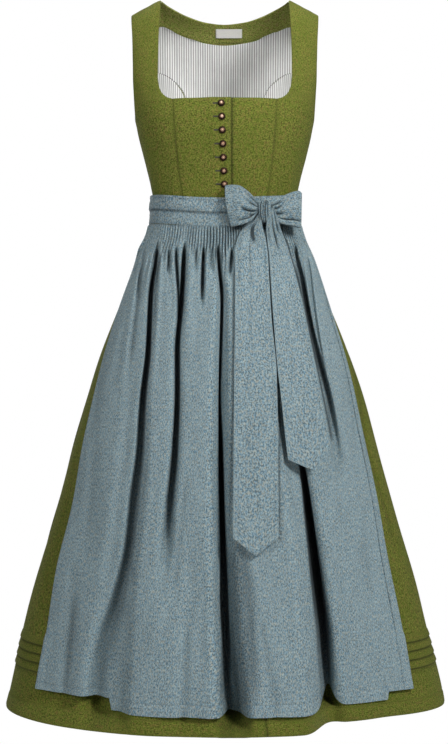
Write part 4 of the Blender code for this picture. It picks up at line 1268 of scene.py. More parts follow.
        return lowered(np.abs(share) * self.half_yoke), lowered(self.half_yoke)

    def back_face(self, levels: Array, shares: Array, out: Numbers) -> Array:
        """Points of the back centre, or of a layer in it.

        Args:
            levels: The rows, a column of them, as yoke takes them.
            shares: Places across, -1 to 1.
            out: How far out from the form.
        Returns:
            The grid of points.
        """
        down, side = self.yoke(shares, levels)
        reach = BODICE.place(BACK, self.back_seam_angle(side), side)[..., 0]
        return BODICE.place(BACK, BODICE.angle_at(shares * reach, down), down, out)

    @staticmethod
    def levels(top: Array, yoke: tuple[float, int], below: tuple[float, int]) -> Array:
        """Rows of the back centre: closest together at the foot of the armholes.

        Args:
            top: The rows over the facing.
            yoke: Start and number of the rows down to the armholes' foot.
            below: End and number of the rows below it.
        Returns:
            The rows, as yoke takes them.
        """
        return np.concatenate([top, np.linspace(yoke[0], 100.5, yoke[1]), np.linspace(101.2, 105.0, 16),
                               np.linspace(105.8, 112.0, 10), np.linspace(114.5, *below)])[:, None]

    @staticmethod
    def side_rows(end: float, count: int) -> Array:
        """Rows of a side back, closest together at the foot of the armhole."""
        return np.concatenate([np.linspace(101.1, 112.0, 12), np.linspace(114.5, end, count)])[:, None]

    def back(self, shop: Atelier) -> None:
        """Back centre and the two side backs."""
        shares = edged(2 * self.half_back, 3.6) * 2 - 1
        levels = self.levels(np.concatenate([[-1.0, -0.995, -0.985], np.linspace(-0.97, -0.02, 14)]),
                             (22.5, 27), (WAIST, 74))
        down, _ = self.yoke(shares, levels)
        inset = (1 - np.abs(shares)) * self.half_back
        across = self.back_face(levels, shares, 0.0)[..., 0] / self.half_back
        out = (-rolled(inset) - rolled((levels + 1.0) * 40.0)
               + 0.4 * smoothed(9, 3.0, 31)(across, levels / 200.0))
        out = out - 0.7 * hump(shares * self.half_back, 1.5) * rising(down, 30.0, 6.0)
        for middle, depth in ((-0.55, 1.2), (-0.2, 0.9), (0.33, 1.1), (0.62, 0.9)):
            out = out - depth * hump(shares - middle, 0.09) * rising(down, 292.0, 50.0)
        face = self.back_face(levels, shares, out)
        panel = Panel("centre_back", face, self.cloth, shop.felt, (350.0, 372.0), shop.felt)
        shop.cloth(panel, Cloth.FELT, "stretched", ["side_front_right", "side_front_left"], "back_centre",
                   area=0.56)
        for hand, name in RIGHT_LEFT:
            share, down = edged(self.side_width, 3.2), self.side_rows(WAIST, 78)
            uneven = 0.4 * smoothed(7, 2.5, 41 + hand)(share, down / 200)
            out = rolled_sides(0.0, share, self.side_width) + uneven
            face = BODICE.place(BACK, self.side_angle(BACK, hand, share, down), down, out)
            panel = Panel(f"side_back_{name}", face, self.cloth, shop.felt, (138.0, 262.0), shop.felt)
            shop.cloth(panel, Cloth.FELT, "stretched", ["centre_back"], f"back_{name}_side", area=0.88)

    def inside(self, shop: Atelier) -> None:
        """Felt facing of the back neck and striped lining below it."""
        layer = -self.cloth - self.gap
        shares = edged(2 * self.half_lining, 3.6) * 2 - 1
        levels = np.concatenate([[-0.9999, -0.996], np.linspace(-0.985, -0.004, 20)])[:, None]
        out = layer - 1.7 + rolled((levels + 1.0) * 40.0, 0.6) + rolled(-levels * 34.0, 0.8, 2.0)
        face = self.back_face(levels, shares, out)
        # Painted shadow below the label; the facing takes the lighter copy of the felt, painted light.
        shade = 0.55 * hump(face[..., 0] - 9.5, 25.0, 8.0) * hump(-face[..., 2] - 47.3, 2.0)
        panel = Panel("neck_facing", face, 1.5, shop.facing, (344.0, 62.0), outward=FORWARD, painted_shade_and_patina=shade)
        seam = forward_seam("topstitch_facing", face[-3], shop.felt_thread, 3.4, 2.2, 0.4)
        shop.cloth(panel, Cloth.FELT, "stretched", ["back_centre"], "back_neck_facing", seams=[seam],
                   area=0.72)
        levels = self.levels(np.linspace(-0.06, -0.01, 3), (23.0, 22), (WAIST - 0.3, 64))
        inset = (1 - np.abs(shares)) * self.half_lining
        across = self.back_face(levels, shares, 0.0)[..., 0] / self.half_lining
        out = (layer - self.lining_cloth + rolled(inset, 0.5)
               + 0.35 * smoothed(9, 4.0, 51)(across, levels / 200.0))
        face = self.back_face(levels, shares, out)
        # Painted shade along the lining's side edges, below the armholes.
        panel = Panel("lining_centre", face, self.lining_cloth, shop.lining, (344.0, 344.0), outward=FORWARD,
                      lay=np.stack([face[..., 0] * 1.12, -face[..., 2]], axis=-1),
                      painted_shade_and_patina=0.7 * falling(inset, 0.4, 1.6) * (levels > 95.0))
        seams = [forward_seam(f"stitching_lining_{name}", face[40:, column], shop.dark_thread,
                              3.9, 2.3, 1.1) for name, column in (("right", 3), ("left", -4))]
        shop.cloth(panel, Cloth.LINING, "stretched", ["back_neck_facing"], "lining_back_centre",
                   seams=seams, area=0.5)
        for hand, name in RIGHT_LEFT:
            share, down = edged(self.side_width, 3.4), self.side_rows(WAIST - 0.3, 72)
            out = (layer - self.lining_cloth + rolled(share * self.side_width, 0.5)
                   + 0.3 * smoothed(7, 3.0, 61 + hand)(share, down / 200))
            face = BODICE.place(BACK, self.side_angle(BACK, hand, share, down), down, out)
            lay = np.stack([face[..., 0] * 1.1 + face[..., 1] * hand * -0.6, -face[..., 2]], axis=-1)
            panel = Panel(f"lining_side_{name}", face, self.lining_cloth, shop.lining, (136.0, 256.0),
                          outward=-face * LEVEL, lay=lay)
            shop.cloth(panel, Cloth.LINING, "stretched", ["lining_centre"], f"lining_back_{name}", area=0.88)

    def label(self, shop: Atelier) -> None:
        """Blank woven label, its ends folded under and sewn down."""
        width, (top, bottom) = self.label_width, self.label_downs
        across = self.label_middle + width * (edged(width, 2.5, (0.3, 0.8, 1.6)) - 0.5)
        down = np.linspace(top, bottom, 12)[:, None]
        stand = -self.cloth - self.gap - self.lining_cloth - 2.6
        ends = width / 2 - np.abs(across - self.label_middle)
        swell = (0.35 * ease(ends / 3.0) + 0.25 * np.sin(np.pi * (down - top) / (bottom - top))
                 + 0.3 * hump(ends - 3.2, 0.8))
        face = BODICE.place(BACK, BODICE.angle_at(across, down), down, stand - swell)
        panel = Panel("label", face, 0.9, shop.tape, (58.0, 14.0), outward=FORWARD)
        seams = [forward_seam(f"stitching_label_{name}", face[:, column], shop.felt_thread, 2.4, 1.6, 0.45)
                 for name, column in (("right", 2), ("left", -3))]
        shop.cloth(panel, Cloth.TAPE, "stretched", ["back_neck_facing"], "neck_label", seams=seams)

    def button_place(self, number: int, out: float) -> tuple[Array, Array]:
        """Seat of a button and the way it looks.

        Args:
            number: Which one, from 0.
            out: How far out from the form the seat is.
        Returns:
            The seat in millimetres and a unit direction.
        """
        share = number / (len(self.button_downs) - 1)
        down = self.button_downs[number]
        across = self.button_across[0] + (self.button_across[1] - self.button_across[0]) * share
        angle = BODICE.angle_at(across, down)
        seat = BODICE.place(FRONT, angle, down, out)
        return seat, unit(BODICE.place(FRONT, angle, down, out + 10.0) - seat)

    def buttonholes(self, shop: Atelier) -> None:
        """Worked buttonholes beside the buttons, each a slit between two bars of thread."""
        points, faces = [], []
        for number in range(len(self.button_downs)):
            start = self.button_place(number, self.overlap + 0.1)[0] + np.array([-9.8, 0.0, 0.0])
            for lift, half, wide in ((0.0, 5.4, 1.9), (1.1, 5.1, 0.6), (-1.1, 5.1, 0.6)):
                for k in range(10):
                    x = -half + 2 * half * k / 9
                    across = start + np.array([x, 0.0, lift])
                    across[1] = self.front_y(across[0], -across[2]) - 0.35
                    points += [across + np.array([0.0, -0.35 * share, wide * up / 2])
                               for up, share in ((-1, 0.0), (-0.6, 0.8), (0.0, 1.0), (0.6, 0.8), (1, 0.0))]
                faces += quads(np.arange(len(points) - 50, len(points)).reshape(10, 5), False).tolist()
        thing = mesh_object("buttonholes", np.array(points), faces, [shop.dark_thread], sharp=80.0)
        shop.enter(thing, Cloth.FELT)

    def front_y(self, across: float, height: float) -> float:
        """How far forward the upper front is at a place."""
        down = height - waist_dip(0.0, height)
        return float(BODICE.place(FRONT, BODICE.angle_at(across, down), down, self.climb(across))[1])

    def build(self, shop: Atelier) -> None:
        """Make every piece of the bodice."""
        for hand, name in RIGHT_LEFT:
            self.side_front(shop, hand, name)
        for upper in (True, False):
            self.front_centre(shop, upper)
        self.back(shop)
        self.inside(shop)
        self.label(shop)
        self.buttonholes(shop)


# ---------------------------------------------------------------- skirt

APRON_EDGE = Curve((402, 472.5, 542, 607, 737, 872, 992, 1082, 1252),
                   (85, 81, 75, 70, 66, 63, 60.5, 59, 57.5))
GATHERS_END = 462.0
LEAN = 2650.0

# Creases of the front: short ones fan out of the gathers, long soft ones run on down the cloth between the
# broad folds.
FRONT_CREASES = each(
    Crease,
    (-121.3, 444, -131.7, 562, 5.5, 4.6, -1.5), (-110.6, 452, -118.1, 528, 3.6, 2.6, -3),
    (-96.2, 446, -99.4, 500, 3.4, 2.8), (-84.7, 446, -82.6, 590, 3.8, 2.6, 1),
    (-71.2, 444, -77.4, 610, 5.5, 5, 1.5), (-60.5, 452, -60, 520, -2.2, 4),
    (-51.2, 444, -53.7, 492, 3.4, 2.6, 2), (-37.4, 444, -39.2, 545, 5.2, 3.2),
    (-24.5, 446, -22.6, 500, 2.6, 2.8), (-10.3, 444, -4.2, 566, 6, 4.6, 1), (3, 452, 8, 540, -2.4, 4),
    (12.4, 446, 6.4, 512, 3.8, 3), (122.2, 450, 132.3, 560, 4.6, 3.4), (135, 456, 147, 580, 3.6, 3.6),
    (-141.6, 446, -152.6, 552, 3.6, 3.4, -2), (-105.5, 442, -108.9, 478, 2.4, 2.4),
    (-133.4, 520, -146, 700, 3.2, 7), (-169.6, 560, -192, 745, 3, 9, -4), (-52.4, 530, -50, 700, 2.4, 7),
    (-25.5, 700, -28.7, 905, 2.2, 9, 3), (33, 740, 40.5, 945, 2.6, 9), (63.8, 800, 74.4, 1010, 2.4, 11),
    (183.3, 800, 209.5, 1010, 2.8, 10, 3), (210, 640, 233.8, 856, 3.4, 8, 3),
    (-227.2, 800, -245.6, 1012, 3, 11), (-199.1, 880, -216.7, 1080, -2.6, 12),
    (-59, 960, -63.9, 1150, 3, 12, 3), (-110.4, 960, -121.5, 1170, -2.6, 14),
    (-35.1, 1000, -31.5, 1235, 2.6, 12), (42.6, 1000, 53.3, 1240, 3, 12, -3),
    (102.4, 930, 115.5, 1150, 2.6, 12), (197.6, 1010, 215.1, 1245, 3, 12),
    (245.4, 900, 265.3, 1120, 3.4, 11, -4), (280.4, 1000, 300.9, 1220, -3, 14),
    (-260.6, 1000, -282.2, 1225, 3, 13), (-178.7, 1040, -193.3, 1240, 3.2, 12),
    (228, 620, 258.1, 860, 3.4, 5, 2), (256.1, 810, 314.4, 1030, 3, 6, 3),
    (-203.3, 600, -238.7, 830, 3, 7, -3), (-258.6, 790, -296.9, 1010, 3.2, 8, -4),
    (-318, 930, -340, 1150, -3, 10), (322, 880, 352, 1140, 2.8, 9), (-148, 480, -173, 700, 4, 5),
    (-66, 850, -90, 1100, 4, 7), (-258, 1060, -282, 1290, 5, 9), (22, 950, 30, 1330, 11, 19, 4),
    (-64, 1100, -73, 1330, 5, 8), (58, 1080, 94, 1300, 4.5, 8))
FRONT_SLITS = (
    Slit((436, 461, 534, 634, 721, 807, 892, 978, 1062, 1129, 1196, 1250),
         (-117, -119.4, -129, -131.8, -139.8, -143.5, -154, -160.6, -180, -203, -217, -222),
         (0, 18, 28, 32, 30, 27, 27, 27, 24, 22, 20, 14),
         (2, 3, 4.2, 5, 6.4, 7.6, 8.6, 9.6, 12, 14, 14, 15)),
    Slit((430, 455.2, 545.5, 634, 721, 807, 892, 978, 1070),
         (-69, -71.2, -74.8, -83, -81.8, -84.6, -92.7, -99.3, -120),
         (0, 18, 34, 34, 32, 30, 26, 12, 0), (2, 3.2, 5, 5.8, 6, 6.8, 7.6, 9, 12)),
    Slit((430, 456.3, 547, 634, 721, 807, 892, 978, 1062, 1129, 1196, 1250),
         (-13, -12.1, -4.9, -7.3, -11.4, -8.5, -5.2, -2.4, -2.6, -1.6, -2.6, 4),
         (0, 14, 24, 17, 34, 50, 52, 50, 44, 40, 32, 20),
         (1.8, 2.2, 3, 3, 4, 5.4, 6.8, 8.2, 9, 9.6, 11, 13)),
    Slit((520, 600, 680, 755.7, 838.4, 943.4, 1061, 1127.5, 1213.4),
         (68, 80, 95, 114, 132.5, 145.5, 161, 169, 173),
         (0, 20, 40, 58, 70, 76, 76, 62, 32), (3, 4, 4.4, 4.6, 5.4, 8.8, 12.6, 13.6, 11.5)),
    Slit((440, 459.3, 486, 547, 634, 721, 807, 880),
         (120, 124, 131, 142, 159, 180.5, 191.5, 199),
         (0, 12, 17, 23, 24, 20, 11, 0), (2, 3, 3.6, 4.2, 5, 6.2, 9, 11)),
    Slit((440, 460, 513.7, 560), (-37, -37.4, -39.2, -40), (0, 15, 15, 0), (2, 2.8, 3.2, 3.4)),
    Slit((440, 462, 549, 620), (-85.5, -84.7, -82.6, -84), (0, 13, 14, 0), (1.8, 2.6, 2.8, 3.2)),
    Slit((440, 460, 500), (12.8, 12.4, 7.4), (0, 12, 0), (2, 2.8, 3.2)),
    Slit((446, 462, 560, 640), (-116, -117, -122, -127), (0, 10, 9, 0), (1.8, 2.4, 3, 4)),
    Slit((446, 466, 500), (-99, -98, -99.4), (0, 9, 0), (1.8, 2.4, 2.8)),
    Slit((455, 480, 590, 700), (143, 147, 160, 178), (0, 9, 9, 0), (2, 3, 4, 5)),
)


def front_set_back(across: Array, down: Array, wider: float = 0.0) -> Array:
    """How far all creases and narrow folds set the front back; those of a layer beneath are wider."""
    return (sum(one.set_back(across, down) for one in FRONT_CREASES)
            + sum(one.set_back(across, down, wider) for one in FRONT_SLITS))


def laid_back(face: Array, across: Array, down: Array, wider: float = 0.0) -> Array:
    """Set the front's creases and narrow folds straight back into its surface."""
    back = front_set_back(across, down, wider)
    return face + np.stack([back * across / LEAN, back, np.zeros_like(back)], axis=-1)


def unevenness(level: Array, least: float, more: float) -> Array:
    """How strong the gentle unevenness of skirt and apron is; it grows down the cloth."""
    return least + more * rising(level, 600.0, 400.0)


def front_painted_shade(across: Array, down: Array) -> Array:
    """Painted shade in the creases and folds of the front, 0 to 1."""
    lit = 1 - 0.45 * ease((sum(one.set_back(across, down) for one in FRONT_CREASES) - 1.0) / 8.0)
    for one in FRONT_SLITS:
        lit = lit * (1 - one.painted_shade_and_patina(across, down))
    return 1 - lit


def crowded(angle: Array, down: float) -> Array:
    """Draw a row's columns together along the narrow folds, apart from those at its ends.

    Args:
        angle: The row's angles, evenly spread.
        down: Distance down.
    Returns:
        Where each column goes, as a share of the row.
    """
    shares = np.linspace(0.0, 1.0, len(angle))
    across = SKIRT.round(angle, down)[:, 0]
    density = 1.0 + sum(one.crowd(across, down) for one in FRONT_SLITS)
    inner = (shares >= 0.03) & (shares <= 0.97)
    steps = np.where(inner[1:] & inner[:-1], 0.5 * (density[1:] + density[:-1]), 0.0)
    total = np.concatenate([[0.0], np.cumsum(steps)])
    low, high = shares[inner][0], shares[inner][-1]
    return np.where(inner, np.interp((shares - low) / (high - low), total / total[-1], shares), shares)


# Creases of the back, across by the angle from the middle of the back, in degrees.
BACK_CREASES = each(
    Crease,
    (-64, 452, -62, 640, 3.6, 1.5), (-50, 446, -52, 560, 3, 1.1), (-43, 450, -40, 720, 3.8, 1.7, 1),
    (-33, 446, -35, 545, 3, 1.2), (-26, 452, -27.5, 610, 3.6, 1.4), (-14, 446, -13, 580, 3.2, 1.3),
    (-4, 448, -5.5, 690, 4, 1.6, -1), (6.5, 446, 8, 540, 2.8, 1.1), (14, 450, 12, 620, 3.6, 1.5),
    (25, 446, 26.5, 570, 3, 1.2), (34, 452, 33, 730, 4, 1.7, 1.2), (46, 446, 47.5, 590, 3.2, 1.3),
    (58, 450, 57, 650, 3.6, 1.5), (68, 448, 70, 560, 3, 1.4), (-57, 760, -59, 1050, 3.2, 2.4),
    (-19, 820, -21, 1120, 3.4, 2.2, -1), (21, 700, 19, 960, 3, 2), (40, 860, 42, 1140, -3, 2.4),
    (-36, 900, -34, 1150, -3, 2.4), (63, 800, 61, 1060, 3, 2.2))


@dataclass
class Skirt:
    """Felt skirt in three pieces: gathered at the back, four tucks above the hem all round."""

    cloth: float = 1.8
    tucks: tuple[float, ...] = (1157.5, 1173.0, 1188.5, 1204.0)
    tuck_step: float = 2.4
    undercut: float = 0.9
    tucks_from: float = 1144.5
    hem_turned: float = 24.0
    gathers: int = 32
    gather_depth: float = 3.0
    fold_steps: tuple[float, ...] = (-1.5, -1.1, -0.75, -0.4, 0.0, 0.4, 0.75, 1.1, 1.5)
    between: tuple[int, ...] = (4, 6, 4, 6)
    deep: tuple[int, ...] = (1, 4, 6)
    seam_column: int = 30
    column_width: float = 18.0
    back_width: float = 1200.0

    def rows(self) -> tuple[Array, Array]:
        """Distances down of the rows, and how far the tucks stand out there."""
        start = self.tucks_from
        down = [*np.linspace(352.9, 396.0, 8), *np.linspace(401.0, 500.0, 24), *np.linspace(508.0, start, 62)]
        stand = [0.0] * len(down)
        for edge in self.tucks:
            for place in (start + 1.4, start + 4.0, (start + edge) / 2 + 1.0, edge - 3.6, edge - 1.4,
                          edge - 0.5, edge):
                t = (place - start) / (edge - start)
                pleat = self.tuck_step * (0.25 + 0.75 * t) * float(ease(t * 5))
                down.append(place)
                stand.append(pleat - 0.5 * float(hump(place - edge, 0.5)))
            start = edge + self.undercut
            down.append(start)
            stand.append(0.0)
        down += [*np.linspace(start + 2.0, HEM - 27.0, 8),
                 *(HEM - np.array([25.2, 24.0, 22.8, 18, 12, 7, 3.2, 1.4, 0.5, 0.02]))]
        return np.array(down), np.pad(stand, (0, len(down) - len(stand)))

    def hem(self, down: Array) -> Array:
        """Stand of the turned-up hem: a little thicker, dimpled where it is sewn, its edge rolled."""
        below = down - (HEM - self.hem_turned)
        return 0.7 * ease(below / 3.0) - 0.6 * hump(below, 0.9) - rolled(HEM - down, 1.2, 2.2)

    def under_tucks(self, down: Array) -> Array:
        """Painted shade under the edges of the tucks."""
        return 0.72 * sum(hump(down - edge - 1.3, 1.8) for edge in self.tucks)

    def stations(self, down: float) -> Array:
        """Angles of the front's columns, close together where a deep fold turns."""
        edge = float(APRON_EDGE(down))
        angles = [-edge]
        steps = np.array(self.fold_steps)
        for fold, count in zip([SKIRT.folds[k] for k in self.deep], self.between):
            reach = steps * np.where(steps < 0, fold.left, fold.right) * SKIRT.scale(down)
            cluster = SKIRT.angle_at(SKIRT.middle(fold, down) + reach, down)
            angles += [*np.linspace(angles[-1], cluster[0], count + 1)[1:], *cluster[1:]]
        angles += [*np.linspace(angles[-1], edge, self.between[-1] + 1)[1:]]
        right, left = np.linspace(-90.0, angles[0], 4)[:-1], np.linspace(angles[-1], 90.0, 4)[1:]
        return np.array([*right, *angles, *left])

    def front(self, shop: Atelier) -> None:
        """The two pieces of the front, sewn together beside the right valley."""
        down, stand = self.rows()
        table = np.array([self.stations(level) for level in down])
        count = table.shape[1] - 1
        fine = [np.linspace(k, k + 1, (10 if k < 3 or k >= count - 3 else 5) + 1)[:-1] for k in range(count)]
        places = np.concatenate(fine + [np.array([float(count)])])
        for name, first, last, flat in (("right", 0, self.seam_column, (640.0, 935.0)),
                                        ("left", self.seam_column, count, (500.0, 935.0))):
            chosen = places[(places >= first) & (places <= last)].copy()
            chosen[0] += 0.003 * (first == 0)
            chosen[-1] -= 0.003 * (last == count)
            angle = np.array([np.interp(chosen, np.arange(count + 1), row) for row in table])
            level = down[:, None]
            across = SKIRT.round(angle, level)[..., 0]
            under = 1 - ease((np.abs(angle) - APRON_EDGE(level) + 5.0) / 5.0)
            out = stand[:, None] + self.hem(level)
            out = out - 4.0 * under * rising(level, 402.0, 50.0) * falling(level, 1228.0, 30.0)
            wave = 0.5 + 0.5 * np.cos(angle * 4.4 + 0.6 * np.sin(angle * 1.3))
            out = (out + 1.6 * wave * (1 - under) * rising(level, 396.0, 12.0)
                   * falling(level, 430.0, 80.0))
            out = out + unevenness(level, 0.8, 1.6) * smoothed(9, 3.5, 71)(across / 400.0, level / 800.0)
            ends = (chosen - first) * self.column_width, (last - chosen) * self.column_width
            out = out - rolled(ends[0]) - rolled(ends[1])
            face = laid_back(SKIRT.place(angle, level, out), across, level, 6.0)
            even = rising(level, 1250.0, 38.0) * falling(across, 110.0, 30.0)
            face = face + (SKIRT.place(angle, level, out, SKIRT.round) - face) * even[..., None]
            # Painted shade along the seam between the two pieces, in the folds of the front and under the
            # tucks.
            sewn = 0.6 * hump(ends[1] if first == 0 else ends[0], 1.6)
            painted_shade_and_patina = np.maximum(np.maximum(front_painted_shade(across, level), sewn), self.under_tucks(level))
            panel = Panel(f"skirt_{name}", face, self.cloth, shop.felt, flat, painted_shade_and_patina=painted_shade_and_patina)
            shop.cloth(panel, Cloth.FELT, "gathered", [f"centre_front_{name}"], f"skirt_front_{name}",
                       area=0.7)

    def back(self, shop: Atelier) -> None:
        """The back, gathered into the waist seam."""
        down, stand = self.rows()
        shares = np.linspace(0.0, 1.0, self.gathers * 6 + 1)
        angle = np.array([SKIRT.even(90.0, 270.0, shares, level) for level in down])
        angle[:, 0] += 0.05
        angle[:, -1] -= 0.05
        level = down[:, None]
        jitter = 0.9 * smoothed(5, 6.0, 81)(shares)
        wave = 0.5 - 0.5 * np.cos(2 * math.pi * self.gathers * shares + jitter)
        uneven = 0.85 + 0.3 * smoothed(6, 9.0, 82)(shares)
        fade = rising(level, 388.0, 14.0) * falling(level, 412.0, 86.0)
        strength = np.where(level < 398.0, 0.35, fade)
        out = self.gather_depth * wave * uneven * strength + stand[:, None] + self.hem(level)
        out = out - sum(crease.set_back(angle - 180.0, level) for crease in BACK_CREASES)
        out = out + unevenness(level, 0.6, 1.6) * smoothed(9, 5.0, 83)(shares, level / 800.0)
        out = rolled_sides(out, shares, self.back_width)
        # Painted shade under the edges of the tucks.
        panel = Panel("skirt_rear", SKIRT.place(angle, level, out), self.cloth, shop.felt, (1290.0, 935.0),
                      painted_shade_and_patina=self.under_tucks(level))
        shop.cloth(panel, Cloth.FELT, "gathered", ["centre_back", "side_back_right", "side_back_left"],
                   "skirt_back", area=0.62)

    def build(self, shop: Atelier) -> None:
        """Make every piece of the skirt."""
        self.front(shop)
        self.back(shop)


# ---------------------------------------------------------------- apron

@dataclass(frozen=True)
class Strip:
    """A strip of band or tie round the waist.

    Attributes:
        name: The piece's name.
        start: Angle of its first end.
        end: Angle of its last end.
        top: Distance down of its upper edge.
        bottom: Distance down of its lower edge.
        inner: How far its inner side stands off the skirt's round.
        cloth: Its thickness.
        wrinkle: Depth of its wrinkles.
        seed: Which unevenness.
        flat: The size that it was cut to.
        line: Distance down of the painted shadow under the strip that lies over it.
        bunched: Share of its length where it begins to fold for the knot, and the end in the knot.
    """

    name: str
    start: float
    end: float
    top: float
    bottom: float
    inner: float
    cloth: float
    wrinkle: float
    seed: int
    flat: tuple[float, float]
    line: float = 0.0
    bunched: tuple[float, float] | None = None
    HALF_ROUND: ClassVar[float] = 372.0

    def panel(self, shop: Atelier) -> Panel:
        """The strip as a piece of cloth."""
        length = abs(self.end - self.start) / 180.0 * self.HALF_ROUND
        shares = edged(length, 4.0)
        near = np.array([0.0, 0.6, 1.4, 2.4])
        count = max(6, int((self.bottom - self.top - 9) / 2.2))
        rows = np.linspace(self.top + 4.6, self.bottom - 4.6, count)
        down = np.concatenate([self.top + near, rows, self.bottom - near[::-1]])[:, None]
        angle = SKIRT.even(self.start, self.end, shares, (self.top + self.bottom) / 2)
        above, below = down - self.top, self.bottom - down
        v = above / (self.bottom - self.top)
        wrinkles = smoothed(9, 5.0, self.seed)(shares * 2.2, v * 0.35)
        out = self.inner + self.cloth + self.wrinkle * wrinkles
        out = out - rolled(above, 0.7) - rolled(below, 0.7)
        out = out - 0.35 * hump(above - 3.4, 0.7) - 0.35 * hump(below - 3.4, 0.7)
        level = down + 0.6 * smoothed(5, 3.0, self.seed + 1)(shares)
        face = SKIRT.place(angle, level, out, SKIRT.round)
        if self.bunched:
            face = face + unit(face * LEVEL) * self.folds(*face.shape[:2])[..., None]
        lay = np.stack(np.meshgrid(shares * length, down[:, 0]), axis=-1)
        # Painted shade: the whole strip is painted a little darker, with a painted shadow line under the
        # strip that lies over it.
        return Panel(self.name, face, self.cloth, shop.linen, self.flat, lay=lay,
                     painted_shade_and_patina=0.22 + 0.7 * hump(down - self.line, 1.7))

    def folds(self, rows: int, columns: int) -> Array:
        """How far the strip stands out where it folds lengthwise to run into the knot."""
        u, v = np.meshgrid(np.linspace(0, 1, columns), np.linspace(0, 1, rows))
        begins, ends = self.bunched
        return ease((u - begins) / (ends - begins)) * (0.8 + 0.8 * np.cos(4.6 * math.pi * v + 1.2))

    @staticmethod
    def seams(name: str, face: Array, up: Array, lift: float, thread: bpy.types.Material,
              *size: float) -> list[Seam]:
        """Stitching along both edges of a strip.

        Args:
            name: The start of both names.
            face: The strip's grid of points.
            up: Which way it looks at each of them.
            lift: How far the stitches stand off the cloth.
            thread: The thread's material.
            size: Pitch, length and thickness of a stitch.
        Returns:
            The two lines.
        """
        return [Seam(f"{name}_{side}", face[row] + unit(up[row]) * lift, up[row], thread, *size)
                for side, row in (("upper", 3), ("lower", -4))]


